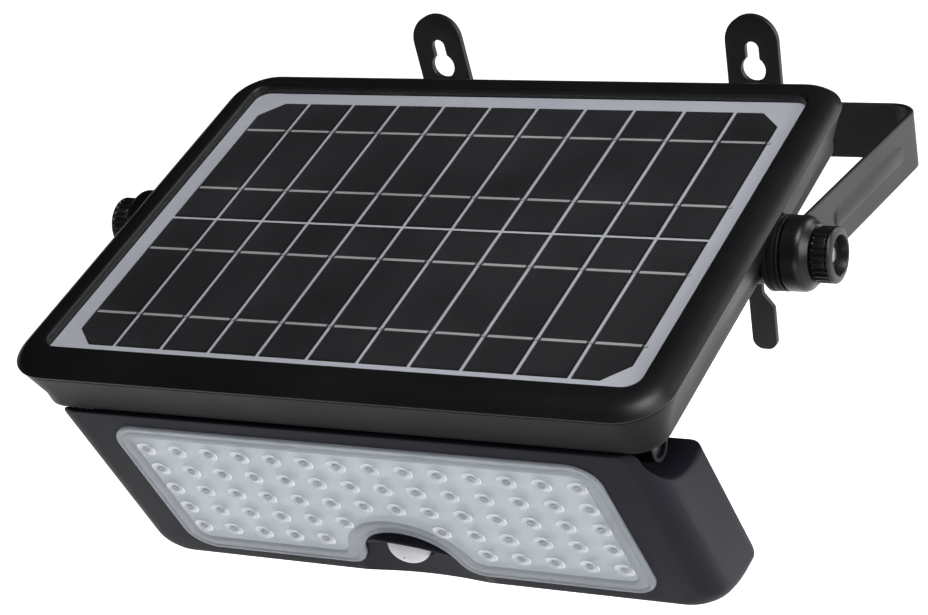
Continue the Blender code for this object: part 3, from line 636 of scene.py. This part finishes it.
def strap_outline():
    """A wall strap about its bolt: round top, and a narrow hooked tongue on one side at the bottom."""
    half = STRIP_WIDTH / 2
    points = arc(0, STRAP_TOP - half, half, 0, 180, 28)
    points += arc(-half + 4.5, -STRAP_BOTTOM + 4.5, 4.5, 180, 270, 8)
    points += arc(-4.6, -STRAP_BOTTOM + 4.0, 4.0, 270, 360, 8)
    points += [(-0.6, -77.4), (-0.9, -76.7), (-4.7, -71.9), (-5.0, -71.2), (-5.0, -63.5)]
    points += arc(-3.0, -63.5, 2.0, 180, 90, 5)[1:]
    points += arc(half - 3.0, -58.5, 3.0, 270, 360, 8)
    return points


def make_straps():
    """The two wall straps, each leaning a little on its bolt."""
    neck = math.degrees(math.asin(KEYHOLE_SLOT / KEYHOLE_HEAD))
    keyhole = arc(0, 31.9, KEYHOLE_SLOT, 0, 180, 14)
    keyhole += arc(0, 23.5, KEYHOLE_HEAD, 90 + neck, 450 - neck, 30)
    low, high = STRAP_GAP, STRAP_GAP + STRAP_THICK

    def strap(side, sign):
        place = (Matrix.Translation((sign * BOLT_SPACING * MM, 0, 0))
                 @ Matrix.Rotation(STRAP_LEAN[side], 4, "Y"))
        sink = turned([(high + 1, 5.9), (high, 4.9), (high - 0.4, 4.9), (0.5, 2.75), (-1.0, 2.75)], 32, "Y")
        piece("strap_plate_" + side, plate(strap_outline(), [keyhole], low, high), place, "strap_" + side,
              "bracket_black", ["wall_strap_" + side], cuts=[sink], bevel=0.35)

    both_sides(strap)


# ---------------------------------------------------------------- solar housing

def frame_outline(offset, front=0.0, steps=12):
    """The panel opening's outline, grown by an offset, with its front edge drawn in if asked."""
    radius = max(OPENING_RADIUS + offset, 2.0)
    low = -OPENING_Y - offset + front
    outline = rounded_box(OPENING_X + offset, low, OPENING_Y + offset, radius, radius, steps)
    return [(x, y + PANEL_MIDDLE) for x, y in outline]


def frame_rings(sections):
    """Rings round the panel, from (offset, height) pairs."""
    return level_rings([(frame_outline(offset), z) for offset, z in sections])


def make_bezel():
    """The upper shell: a smooth crowned lip round the glass."""
    crown = []
    for i in range(17):
        offset = 1.0 + 11.0 * i / 16
        drop = 4.2 * (max(offset - 2.4, 0) / 9.6) ** 2.5
        crown.append((offset, LIP_TOP - drop))
    shelf = [(6.6, LEDGE - 1.6), (-8, LEDGE - 1.6), (-8, LEDGE), (0, LEDGE)]
    inner = [(0, LIP_TOP - 1.0), (0.1, LIP_TOP - 0.6), (0.3, LIP_TOP - 0.3), (0.6, LIP_TOP - 0.1)]
    foot = [(12.0, 15.0), (11.85, 14.7), (11.5, SEAM), (8.8, SEAM)]
    rings = [(frame_outline(offset, FRONT_LIP * min(max(1 - offset / 8, 0), 1)), z)
             for offset, z in shelf + inner + crown + foot]
    piece("bezel_shell", loft(level_rings(rings), True), PANEL, "housing",
          "bezel_black", ["bezel_frame"], sharp=40)


def lug_rings(sections):
    """A hinge lug, rounded below and splayed where it meets the tray, from (x, growth) pairs."""
    foot = TRAY_BOTTOM + 1.0
    rings = []
    for x, grow in sections:
        radius = LUG_RADIUS + grow
        outline = arc(HINGE_Y, HINGE_Z, radius, 180, 360, 20)
        rise = foot + 2 * min(grow, 0) - HINGE_Z
        for way, order in ((1, range(7)), (-1, range(6, -1, -1))):
            for i in order:
                share = i / 6
                splay = LUG_SPLAY * share ** 3
                outline.append((HINGE_Y + way * radius + way * splay, HINGE_Z + rise * share))
        rings.append([(x, y, z) for y, z in outline])
    return rings


def make_tray():
    """The lower shell, with the pivot bosses on its sides and the head's hinge lugs under its front."""
    base = arc(4.0, TRAY_BOTTOM + 1.5, 1.6, 265, 350, 6)
    top = SEAM - SEAM_GAP
    floor = TRAY_BOTTOM + WALL
    wall = [(6.2, 1.6), (11.2, top - 0.5), (11.1, top - 0.1), (10.8, top)]
    inside = [(11.4 - WALL, top), (5.6 - WALL, floor + 1), (3.0 - WALL, floor)]
    joins = []
    cuts = []
    for sign in (-1, 1):
        rim = BOSS_RADIUS - 0.1
        boss = [(117.5, 11.2), (124.6, 11.2), (125.4, 12.6), (125.8, 13.2)]
        boss += [(126.2, BOSS_RADIUS), (127.6, BOSS_RADIUS), (127.8, 13.0), (128.2, 13.0), (128.4, rim)]
        boss += [(130.2, rim), (130.4, 13.0), (130.8, 13.0), (131.0, rim)]
        boss += [(BOSS_FACE - 0.2, rim), (BOSS_FACE, BOSS_RADIUS - 0.3)]
        joins.append(turned(mirrored(boss, sign)))
        joins.append(loft(lug_rings([(sign * LUG_INNER, -0.4), (sign * (LUG_INNER + 0.5), 0),
                                     (sign * (LUG_OUTER - 0.4), 0), (sign * LUG_OUTER, -0.4)])))
        bore = [(116, 6.2), (122.8, 6.2), (122.8, 3.3), (BOSS_FACE + 1, 3.3)]
        cuts.append(turned(mirrored(bore, sign), 32))
        cuts.append(turned(mirrored([(LUG_INNER - 1, 2.8), (LUG_OUTER - 4, 2.8)], sign), 32,
                           at=(0, HINGE_Y, HINGE_Z)))
        cuts.append(loft(lug_rings([(sign * (LUG_OUTER - 5), -1.8), (sign * (LUG_OUTER - 0.2), -1.7),
                                    (sign * (LUG_OUTER + 1), -0.9)])))
        for y in (-POST_Y, POST_Y):
            at = (sign * POST_X, y + PANEL_MIDDLE, 0)
            sink = [(TRAY_BOTTOM - 1, 3.9), (TRAY_BOTTOM + 0.3, 3.2), (TRAY_BOTTOM + 1.9, 3.2)]
            cuts.append(turned(sink, 32, "Z", at))
    piece("tray_shell", loft(frame_rings(base + wall + inside)), PANEL, "housing", "housing_black",
          ["housing_tray"], joins, cuts)


def make_panel():
    """The solar panel: backsheet, cells with their fingers, ribbons and solder, and the cover glass."""
    bottom, sheet, cell, finger, ribbon = CELL_PLANE - 1.6, 16.0, 16.2, 16.24, 16.34
    backsheet = loft(frame_rings([(-0.4, bottom), (-0.4, sheet)]))
    piece("panel_backsheet", backsheet, PANEL, "housing", "backsheet", ["solar_laminate"])
    cells = []
    fingers = []
    ribbons = []
    solder = []
    array_x = COLUMNS * COLUMN_PITCH / 2
    half_gap = CELL_GAP / 2
    for row in (-1, 1):
        near, far = row * half_gap, row * (STRING_HEIGHT - half_gap)
        low, high = sorted((near + PANEL_MIDDLE, far + PANEL_MIDDLE))
        for column in range(COLUMNS):
            left = column * COLUMN_PITCH - array_x + half_gap
            right = left + COLUMN_PITCH - CELL_GAP
            cut = {0: -1, COLUMNS - 1: 1}.get(column, 0)
            outline = [(left, low), (right, low), (right, high), (left, high)]
            if cut:
                corner = (right if cut > 0 else left, far + PANEL_MIDDLE)
                place = outline.index(corner)
                along_x = (corner[0] - cut * CELL_CHAMFER, corner[1])
                along_y = (corner[0], corner[1] - row * CELL_CHAMFER)
                swap = (cut > 0) == (row > 0)
                outline[place:place + 1] = [along_y, along_x] if swap else [along_x, along_y]
            cells.append(plate(outline, [], sheet - 0.1, cell, "Z"))
            lines = int((right - left) / FINGER_PITCH)
            for number in range(lines):
                x = left + (number + 0.7) * FINGER_PITCH
                past_corner = abs(x) - (array_x - half_gap - CELL_CHAMFER)
                reach = CELL_CHAMFER - past_corner if cut else CELL_CHAMFER
                trim = 0.8 + max(CELL_CHAMFER - reach, 0)
                start_y, end_y = sorted((near + row * 0.8 + PANEL_MIDDLE, far - row * trim + PANEL_MIDDLE))
                fingers.append(box((x - 0.06, start_y, cell - 0.02), (x + 0.06, end_y, finger)))
            for share in (0.25, 0.75):
                y = row * STRING_HEIGHT * share + PANEL_MIDDLE
                half = RIBBON_WIDTH / 2
                ribbons.append(box((left + 1.0, y - half, cell - 0.02), (right - 1.0, y + half, ribbon)))
                ribbons.append(box((right, y - half * 0.9, sheet - 0.02),
                                   (right + CELL_GAP, y + half * 0.9, ribbon)))
                for x in (left, right - 0.8):
                    solder.append(box((x, y - half * 0.8, cell - 0.02),
                                      (x + 0.8, y + half * 0.8, ribbon - 0.03)))
    piece("panel_cells", joined(cells), PANEL, "housing", "cell_laminate")
    piece("panel_fingers", joined(fingers), PANEL, "housing", "finger")
    piece("panel_ribbons", joined(ribbons), PANEL, "housing", "ribbon")
    piece("panel_solder", joined(solder), PANEL, "housing", "solder")
    glass = [(-0.4, CELL_PLANE + 0.1), (-0.4, CELL_PLANE + 1.4), (-0.6, CELL_PLANE + 1.6)]
    piece("panel_cover_glass", loft(frame_rings(glass)), PANEL, "housing", "panel_glass",
          ["cover_glass"])


def make_clamps():
    """Clamp cups, washers, pivot bolts, and the knobs with their inserts."""

    def clamp(side, sign):
        at = tuple(PANEL.translation / MM)
        cup = [(CUP_MOUTH, 12.0), (CUP_MOUTH, CUP_RADIUS - 0.4), (CUP_MOUTH + 0.4, CUP_RADIUS)]
        cup += [(137.2, CUP_RADIUS)] + arc(137.6, CUP_RADIUS - 3.6, 3.6, 90, 30, 8)
        cup += [(CUP_END - 0.5, 10.9), (CUP_END, 10.4), (CUP_END, 3.5), (136.3, 3.5), (136.3, 12.0)]
        half = STRIP_WIDTH / 2 + SEAM_GAP
        low, high = sorted((sign * (CUP_MOUTH - 1), sign * 136.3))
        slot = box((low, at[1] - 0.5, -half), (high, at[1] + CUP_RADIUS + 1, half))
        piece("cup_shell_" + side, turned(mirrored(cup, sign), 96, at=at, closed=True), BRACKET, "bracket",
              "clamp_black", ["clamp_cup_" + side], cuts=[slot])
        washer = [(BOSS_FACE + 0.1, 11.6), (BOSS_FACE + 0.25, 12.0), (BOSS_FACE + 0.5, 12.0),
                  (BOSS_FACE + 0.5, 3.4), (BOSS_FACE + 0.1, 3.4)]
        piece("washer_ring_" + side, turned(mirrored(washer, sign), 64, closed=True), PANEL, "housing",
              "black_rubber", ["friction_washer_" + side])
        bolt = [(118.4, 5.4), (122.4, 5.4), (122.4, 2.9), (147.0, 2.9), (147.4, 2.6), (147.6, 2.2)]
        piece("pivot_stud_" + side, turned(mirrored(bolt, sign), 32), PANEL, "housing", "zinc_steel",
              ["pivot_bolt_" + side])
        ring = [(142.7, 5.0), (146.2, 5.0), (146.2, 3.2), (142.7, 3.2)]
        piece("insert_ring_" + side, turned(mirrored(ring, sign), 32, closed=True), PANEL, "knob_" + side,
              "brass_insert", ["knob_insert_" + side])
        body = [(KNOB_START, 5.3), (KNOB_START, 8.6), (142.7, 9.3), (143.1, 9.8), (143.3, 9.9)]
        body += [(147.2, 9.9), (147.35, 9.9), (147.5, 9.8), (147.7, 9.9)]
        rim = arc(148.6, 8.9, 1.1, 120, 0, 6) + arc(KNOB_END - 0.6, 7.6, 0.6, 0, -90, 4)
        body += rim + [(149.0, 6.8), (146.9, 6.5), (146.6, 3.4), (146.35, 3.4), (146.35, 5.3)]
        grooves = [0, 0, 0, 0.7, 0.7, 0.7, 0.7, 0.7, 0.7, 0.6, 0.5] + [0] * (len(body) - 11)
        knurled = turned(mirrored(body, sign), KNOB_TEETH * 4, closed=True, groove=grooves)
        piece("knob_shell_" + side, knurled, PANEL, "knob_" + side, "knob_black",
              ["knob_" + side])

    both_sides(clamp)


# ---------------------------------------------------------------- lamp head

def head_top(y):
    """Height of the head's top at a depth: flat under the tray, then round about the hinge."""
    if y < BARREL * math.sin(HEAD_TILT):
        rise = 0.6 * min(max((-y - 2.0) / 10.0, 0.0), 1.0)
        return (BARREL - 0.2 - y * math.sin(HEAD_TILT)) / math.cos(HEAD_TILT) + rise
    return math.sqrt(max(BARREL ** 2 - y ** 2, 0))


def head_bottom(y):
    """Height of the head's underside at a depth: steep behind the face, then a soft knee."""
    steep = FACE_BOTTOM + (KNEE_BOTTOM - FACE_BOTTOM) * (y - FACE_Y) / (KNEE_Y - FACE_Y)
    gentle = KNEE_BOTTOM + (BACK_BOTTOM - KNEE_BOTTOM) * (y - KNEE_Y) / (BACK_Y - KNEE_Y)
    softness = 1.5
    return (steep + gentle) / 2 + math.sqrt((steep - gentle) ** 2 / 4 + softness ** 2) - softness / 2


def eased(distance, radius):
    """How far a rounded edge draws in at a distance from its face."""
    if distance >= radius:
        return 0.0
    return radius - math.sqrt(radius ** 2 - (radius - distance) ** 2)


def head_outline(y, inset=0.0, top=None):
    """The head's outline at one depth, drawn in where its front and back edges are rounded."""
    front, back = y - FACE_Y, BACK_Y - y
    half = HEAD_X - eased(front, SIDE_EDGE) - eased(back, BACK_EDGE) - inset
    low = head_bottom(y) + eased(front, FACE_EDGE) + eased(back, BACK_EDGE) + inset
    high = head_top(y) - 0.4 * eased(front, FACE_EDGE) - inset if top is None else top
    corner = HEAD_CORNER - 3.0 * front / (BACK_Y - FACE_Y) - inset
    return rounded_box(half, low, high, max(corner, 1.0), 3.5)


def scoop_tool(sign):
    """The round scoop at one end of the head: soft at its floor, and flared at its rim."""
    profile = arc(POCKET_X + 4.5, SCOOP_RADIUS - 4.5, 4.5, 180, 90, 8)
    profile = [(POCKET_X, 4.0)] + profile
    profile += arc(HEAD_X - 1.8, SCOOP_RADIUS + 2.0, 2.0, 270, 350, 5)
    profile.append((HEAD_X + 5.0, SCOOP_RADIUS + 6.0))
    return turned(mirrored(profile, sign), 128, at=(0, SCOOP_Y, SCOOP_Z))


def board_screw_places():
    """Where the board screws sit between the LEDs, as (x, z) in the head's frame."""
    return [(column * PITCH_X, MID_Z - row * PITCH_Z) for column, row in BOARD_SCREWS]


def led_places():
    """The LED grid, less the ones the sensor arch takes, as (x, z) in the head's frame."""
    places = []
    for row in range(LED_ROWS):
        for column in range(LED_COLUMNS):
            if row == 3 and column in (6, 7) or row == 4 and column in (5, 6, 7, 8):
                continue
            x = (column - (LED_COLUMNS - 1) / 2) * PITCH_X
            places.append((x, MID_Z - (row - (LED_ROWS - 1) / 2) * PITCH_Z))
    return places


def sensor_pocket():
    """The shallow hollow under the lens arch: the arch's own outline, sunk along a wide cylinder."""
    reach = 30.0
    sink = 3.1
    shoulder = 6
    radius = (reach ** 2 + sink ** 2) / (2 * sink)
    steps = 24
    low = -LENS_Z - 20.0
    rings = []
    for i in range(steps + 1):
        x = -reach + 2 * reach * i / steps
        depth = FACE_Y + sink - radius + math.sqrt(radius ** 2 - x ** 2)
        rise = ARCH_RADIUS ** 2 - x ** 2
        if rise > shoulder ** 2:
            top = ARCH_Z + math.sqrt(rise)
        else:
            edge = math.sqrt(ARCH_RADIUS ** 2 - shoulder ** 2)
            share = min(max((abs(x) - edge) / (reach - edge), 0), 1)
            top = ARCH_Z + shoulder - (shoulder + LENS_Z + ARCH_Z) * share
        rings.append([(x, FACE_Y - 6, MID_Z + low), (x, FACE_Y - 6, MID_Z + top + 0.6),
                      (x, depth, MID_Z + top + 0.6), (x, depth, MID_Z + low)])
    return loft(rings)


def make_case():
    """The head's front shell: lens seat, sensor pocket, scooped ends, and the seam with the cover."""
    steps = [0.0, 0.1, 0.3, 0.7, 1.2, 1.8, 2.6, 3.6, 4.8, 6.4, 8.8]
    rings = [(head_outline(FACE_Y + step), FACE_Y + step) for step in steps]
    depths = [-7.5, -5.0, -3.5, -2.5, -1.5, 0.0, 2.0, 3.3, 4.5, 6.0, 7.5, 9.0, 9.9]
    rings += [(head_outline(y), y) for y in depths]
    rings.append((head_outline(COVER_SEAM), COVER_SEAM))
    wall = 2.6
    for y in (COVER_SEAM, 6.5, 3.3, KNEE_Y, -9.0, FACE_Y + 3.4):
        rings.append((rounded_box(CAVITY_X - wall, head_bottom(y) + wall, head_top(y) - wall, 6.0, 1.5), y))
    collar = turned([(FACE_Y + 1.5, 13.0), (FACE_Y + 8, 13.0)], 48, "Y", (0, 0, MID_Z + SENSOR_Z))
    seat = plate(head_level(lens_outline(-0.25)), [], FACE_Y - 5, FACE_Y + 2.3)
    window = plate(head_level(lens_outline(4.5)), [], FACE_Y - 5, FACE_Y + 5)
    hole = turned([(FACE_Y - 6, 9.6), (FACE_Y + 3.4, 9.6), (FACE_Y + 4.0, 9.1), (FACE_Y + 9, 9.1)], 48, "Y",
                  (0, 0, MID_Z + SENSOR_Z))
    cuts = [seat, window, sensor_pocket(), hole]
    cuts += [scoop_tool(sign) for sign in (-1, 1)]
    cuts += [turned(mirrored([(86, 2.7), (POCKET_X + 1, 2.7)], sign), 32) for sign in (-1, 1)]
    piece("case_shell", loft(upright_rings(rings)), HEAD, "head", "head_black",
          ["head_front_case"], [collar], cuts)


def make_visor():
    """The brow that stands over the sensor, tallest in its middle."""
    outer, tall = ARCH_RADIUS - 0.35, 4.3
    rings = []
    steps = 28
    for i in range(steps + 1):
        angle = math.radians(4 + 158 * i / steps)
        swell = math.sin(math.pi * i / steps) ** 0.8
        front = FACE_Y + 2.6 - (tall + 2.6) * swell
        inner = outer - 0.5 - 1.05 * swell
        edge = 0.2 + 0.3 * swell
        section = [(outer, FACE_Y + 3.2), (outer, front + edge), (outer - edge, front)]
        section += [(inner + edge, front), (inner, front + edge), (inner, FACE_Y + 3.2)]
        rings.append([(radius * math.cos(angle), y, MID_Z + ARCH_Z + radius * math.sin(angle))
                      for radius, y in section])
    piece("sensor_visor", loft(rings), HEAD, "head", "head_black")


def make_rear_cover():
    """The head's rear cover, with a soft edge all round and its screws sunk in."""
    seam = COVER_SEAM + 0.08
    drop = 16.0
    rings = []
    for step in (0.0, 0.15, 0.4, 0.9, 1.5, 2.2, 3.0):
        y = BACK_Y - step
        rings.append((head_outline(y, 0.0, head_top(seam) - drop * (1 - step / (BACK_Y - seam)) ** 2), y))
    rings.append((head_outline(seam), seam))
    for y, inset, high in ((seam, 2.6, 2.0), (12.2, 4.5, -10.0)):
        rings.append((rounded_box(CAVITY_X - inset, head_bottom(y) + inset + 1.0, high, 6.0, 3.0), y))
    cuts = [scoop_tool(sign) for sign in (-1, 1)]
    for sign in (-1, 1):
        for z in COVER_SCREWS_Z:
            hole = [(seam - 1, 1.8), (BACK_Y - 2.3, 1.8), (BACK_Y - 2.3, 3.2), (BACK_Y - 0.2, 3.2),
                    (BACK_Y + 0.6, 4.0)]
            cuts.append(turned(hole, 32, "Y", (sign * COVER_SCREWS_X, 0, z)))
    cuts.append(turned([(seam - 1, 5.9), (BACK_Y - 0.3, 5.9), (BACK_Y + 1, 7.2)], 48, "Y",
                       (BUTTON_X, 0, MID_Z + BUTTON_Z)))
    piece("cover_shell", loft(upright_rings(rings)), HEAD, "head", "head_black",
          ["head_rear_cover"], cuts=cuts)


def make_lens():
    """The lens plate with its stepped rim, and a clear dome over each LED with a reflector cup whose glints are
    painted into its colour.
    """
    rim = [(0.3, 1.5), (0.0, 1.2), (0.0, -0.5), (0.2, -0.8), (0.6, -1.0), (1.9, -1.0), (2.1, -0.7)]
    rim += [(2.4, -0.7), (2.7, -0.95), (5.4, -0.85), (5.9, -0.7), (6.3, -0.35), (6.6, -0.2), (6.6, 1.5)]
    rings = [(head_level(lens_outline(inset)), FACE_Y + depth) for inset, depth in rim]
    piece("lens_rim", loft(upright_rings(rings), True), HEAD, "head", "lens_rim",
          ["lens_plate"], sharp=60)
    field = FACE_Y - 0.2
    rings = [(head_level(lens_outline(6.65)), y) for y in (field, FACE_Y + 1.5)]
    piece("lens_field", loft(upright_rings(rings)), HEAD, "head", "lens_clear")
    profile = [(field - 0.05, LED_RADIUS), (field - 0.3, LED_RADIUS), (field - 0.45, LED_RADIUS - 0.2),
               (field - 0.45, LED_RADIUS - 0.5), (field - 0.3, LED_RADIUS - 0.65)]
    profile += [(field - 0.7, LED_RADIUS - 0.9), (field - 1.2, 2.5), (field - 1.65, 1.8), (field - 1.9, 1.0),
                (field - 1.95, 0.2)]
    cup = [(field - 0.02, LED_RADIUS - 0.3), (field - 0.28, LED_RADIUS - 0.7), (field - 0.24, 2.9),
           (field - 0.06, 2.1), (field - 0.06, 1.7), (field - 0.02, 1.5)]
    eye = [(field + 0.02, 1.5), (field - 0.3, 1.5), (field - 0.38, 1.3), (field - 0.38, 0.95),
           (field - 0.2, 0.85), (field - 0.2, 0.1)]
    places = led_places()
    domes = [turned(profile, 28, "Y", (x, 0, z)) for x, z in places]
    cups = [turned(cup, 24, "Y", (x, 0, z)) for x, z in places]
    eyes = [turned(eye, 20, "Y", (x, 0, z)) for x, z in places]
    piece("lens_domes", joined(domes), HEAD, "head", "led_dome", sharp=60)
    piece("led_cups", joined(cups), HEAD, "head", "led_cup", sharp=60)
    piece("led_eyes", joined(eyes), HEAD, "head", "led_eye", sharp=60)


def make_board():
    """The LED board with a chip under each dome, and holes for its screws."""
    corner = 5.0
    notch_x, notch_top = 19.0, -14.5
    outline = arc(BOARD_X - corner, BOARD_Z - corner, corner, 0, 90, 6)
    outline += arc(-BOARD_X + corner, BOARD_Z - corner, corner, 90, 180, 6)
    outline += arc(-BOARD_X + corner, -BOARD_Z + corner, corner, 180, 270, 6)
    outline += [(-notch_x, -BOARD_Z), (-notch_x, notch_top), (notch_x, notch_top), (notch_x, -BOARD_Z)]
    outline += arc(BOARD_X - corner, -BOARD_Z + corner, corner, 270, 360, 6)
    holes = [circle(x, z, 2.7, 24) for x, z in board_screw_places()]
    low, high = FACE_Y + 3.5, FACE_Y + 5.1
    piece("board_plate", plate(head_level(outline), holes, low, high), HEAD, "head", "board_white",
          ["led_board"])
    chips = []
    phosphor = []
    window = 1.15
    for x, z in led_places():
        square = rounded_box(1.5, -1.5, 1.5, 0.3, 0.3, 2)
        chip = plate(square, [circle(0, 0, window, 16)], low - 0.75, low + 0.1)
        bmesh.ops.translate(chip, vec=Vector((x, 0, z)) * MM, verts=chip.verts)
        chips.append(chip)
        phosphor.append(turned([(low - 0.5, window), (low + 0.05, window)], 16, "Y", (x, 0, z)))
    piece("led_chips", joined(chips), HEAD, "head", "board_white")
    piece("led_phosphor", joined(phosphor), HEAD, "head", "phosphor")


def cross_screw(head_y, radius, length, sign=1):
    """The turned profile of a pan head screw; cross_tool cuts its recess."""
    return [(head_y - sign * 1.1, radius * 0.55), (head_y - sign * 0.9, radius * 0.8),
            (head_y - sign * 0.4, radius), (head_y, radius), (head_y, 1.1), (head_y + sign * length, 1.1)]


def cross_tool(at, y_from, y_to, arm=1.7, half=0.33):
    """Two crossed slots that make a screw's recess."""
    x, _, z = at
    low, high = sorted((y_from, y_to))
    return [box((x - across, low, z - up), (x + across, high, z + up))
            for across, up in ((arm, half), (half, arm))]


def make_head_hardware():
    """Sensor dome, board and cover screws, hinge pins and washers, and the mode button."""
    at = (0, 0, MID_Z + SENSOR_Z)
    outer = [(FACE_Y + 6, SENSOR_RADIUS), (FACE_Y + 1.6, SENSOR_RADIUS)]
    for i in range(1, 13):
        angle = math.radians(90 * i / 12.4)
        outer.append((FACE_Y + 1.6 - 5.4 * math.sin(angle), SENSOR_RADIUS * math.cos(angle)))
    inner = [(y + 1.0, max(radius - 0.9, 0.4)) for y, radius in reversed(outer[1:])] + [(FACE_Y + 6, 7.8)]
    piece("sensor_dome", turned(outer + inner, 64, "Y", at, True), HEAD, "head", "sensor_white",
          ["pir_dome"], sharp=50)
    for number, (x, z) in enumerate(board_screw_places(), 1):
        head_y = FACE_Y + 3.3
        profile = cross_screw(head_y, 2.5, 7.7)
        piece("board_screw_fine_%d" % number, turned(profile, 24, "Y", (x, 0, z)), HEAD, "head",
              "board_screw", ["board_screw_%d" % number],
              cuts=cross_tool((x, 0, z), head_y - 2, head_y - 0.5, 1.1, 0.25))
    number = 0
    for sign in (-1, 1):
        for z in COVER_SCREWS_Z:
            number += 1
            place = (sign * COVER_SCREWS_X, 0, z)
            profile = cross_screw(BACK_Y - 2.1, 2.8, 9.0, -1)
            piece("cover_screw_fine_%d" % number, turned(profile, 24, "Y", place), HEAD, "head",
                  "zinc_steel", ["cover_screw_%d" % number],
                  cuts=cross_tool(place, BACK_Y - 1.5, BACK_Y + 1, 1.6, 0.3))

    def hinge(side, sign):
        pin = [(111.2, 3.9), (110.9, 4.4), (108.0, 4.4), (108.0, 2.4), (87.2, 2.4), (86.8, 2.0)]
        piece("hinge_stud_" + side, turned(mirrored(pin, sign), 32), HEAD, "head", "dark_steel",
              ["hinge_pin_" + side])
        ring = [(97.3, 6.6), (97.5, 6.8), (99.0, 6.8), (99.2, 6.6), (99.2, 2.8), (97.3, 2.8)]
        piece("hinge_ring_" + side, turned(mirrored(ring, sign), 48, closed=True), HEAD, "head",
              "black_rubber", ["hinge_washer_" + side])

    both_sides(hinge)
    flange = COVER_SEAM - 0.2
    button = [(BACK_Y + 0.9, 1.5), (BACK_Y + 1.2, 2.6), (BACK_Y + 1.2, 4.6)]
    button += arc(BACK_Y + 0.6, 4.9, 0.6, 0, 90, 5) + [(flange, 5.5), (flange, 7.0), (flange - 1.0, 7.0)]
    piece("button_cap", turned(button, 48, "Y", (BUTTON_X, 0, MID_Z + BUTTON_Z)), HEAD, "mode_button",
          "black_rubber", ["mode_button"])


def make_housing_screws():
    """Four screws in the tray's underside."""
    number = 0
    for x in (-POST_X, POST_X):
        for y in (-POST_Y, POST_Y):
            number += 1
            head = TRAY_BOTTOM + 1.6
            profile = [(head - 1.1, 1.6), (head - 0.9, 2.3), (head - 0.4, 2.8), (head, 2.8)]
            profile += [(head, 1.2), (10.0, 1.2)]
            at = (x, y + PANEL_MIDDLE, 0)
            slots = [box((at[0] - 1.6, at[1] - 0.3, head - 3), (at[0] + 1.6, at[1] + 0.3, head - 0.5)),
                     box((at[0] - 0.3, at[1] - 1.6, head - 3), (at[0] + 0.3, at[1] + 1.6, head - 0.5))]
            piece("housing_screw_fine_%d" % number, turned(profile, 24, "Z", at), PANEL, "housing",
                  "zinc_steel", ["housing_screw_%d" % number], cuts=slots)


# ---------------------------------------------------------------- stage

FLOOR_DROP = 0.25
FLOOR_GLOW = (0.12, 1.05)
SKY_STRENGTH = (0.14, 0.20)
SKY_SEEN_EXTRA = 0.75


def make_stage():
    """A pale floor below the lamp that glows less in front of it, a dim even sky, and four softboxes."""
    low = cad_box[0].z
    mesh = bmesh.new()
    bmesh.ops.create_grid(mesh, x_segments=1, y_segments=1, size=6.0)
    floor = link("floor", mesh, Matrix.Translation((0, 0, low - FLOOR_DROP)))
    made, tree, shader, place = start("floor_white")
    tree.links.new(blended(tree, noise(tree, place, 400.0), (0.80, 0.80, 0.80), (0.84, 0.84, 0.84)),
                   shader.inputs["Base Color"])
    shader.inputs["Roughness"].default_value = 0.9
    across = tree.nodes.new("ShaderNodeVectorRotate")
    across.rotation_type = "Z_AXIS"
    across.inputs["Angle"].default_value = math.radians(-30.0)
    tree.links.new(place, across.inputs["Vector"])
    split = tree.nodes.new("ShaderNodeSeparateXYZ")
    tree.links.new(across.outputs["Vector"], split.inputs["Vector"])
    glow = mapped(tree, split.outputs["Y"], (-0.25, 0.10), FLOOR_GLOW, "SMOOTHSTEP")
    shader.inputs["Emission Color"].default_value = (1.0, 1.0, 1.0, 1.0)
    tree.links.new(glow, shader.inputs["Emission Strength"])
    floor.data.materials.append(made)

    world = bpy.data.worlds.new("studio")
    world.use_nodes = True
    bpy.context.scene.world = world
    tree = world.node_tree
    split = tree.nodes.new("ShaderNodeSeparateXYZ")
    tree.links.new(tree.nodes.new("ShaderNodeTexCoord").outputs["Generated"], split.inputs["Vector"])
    ramp = mapped(tree, split.outputs["Z"], (0.02, 0.55), SKY_STRENGTH, "SMOOTHSTEP")
    seen = tree.nodes.new("ShaderNodeLightPath").outputs["Is Camera Ray"]
    strength = worked(tree, "MULTIPLY_ADD", seen, SKY_SEEN_EXTRA)
    tree.links.new(ramp, strength.node.inputs[2])
    tree.links.new(strength, tree.nodes["Background"].inputs["Strength"])

    def softbox(name, place, aim, width, height, power):
        data = bpy.data.lights.new(name, "AREA")
        data.shape = "RECTANGLE"
        data.size = width
        data.size_y = height
        data.energy = power
        made = bpy.data.objects.new(name, data)
        place = Vector(place)
        turn = (Vector(aim) - place).to_track_quat("-Z", "Y").to_matrix().to_4x4()
        made.matrix_world = Matrix.Translation(place) @ turn
        bpy.context.scene.collection.objects.link(made)

    centre = (0.0, -0.12, 0.0)
    softbox("key_right", (1.3, -0.35, 0.45), centre, 0.7, 0.7, 12.0)
    softbox("fill_top", (0.55, -0.45, 1.25), centre, 0.6, 0.6, 15.0)
    softbox("fill_low", (0.1, -1.2, -0.28), centre, 1.0, 0.3, 3.5)
    softbox("rim_back", (0.9, 1.0, 0.45), centre, 0.5, 0.9, 8.0)


make_camera()
dress_cad_nodes()
make_bracket()
make_straps()
make_bezel()
make_tray()
make_panel()
make_clamps()
make_housing_screws()
make_case()
make_visor()
make_rear_cover()
make_lens()
make_board()
make_head_hardware()
make_stage()
bpy.context.scene.view_settings.view_transform = "Standard"
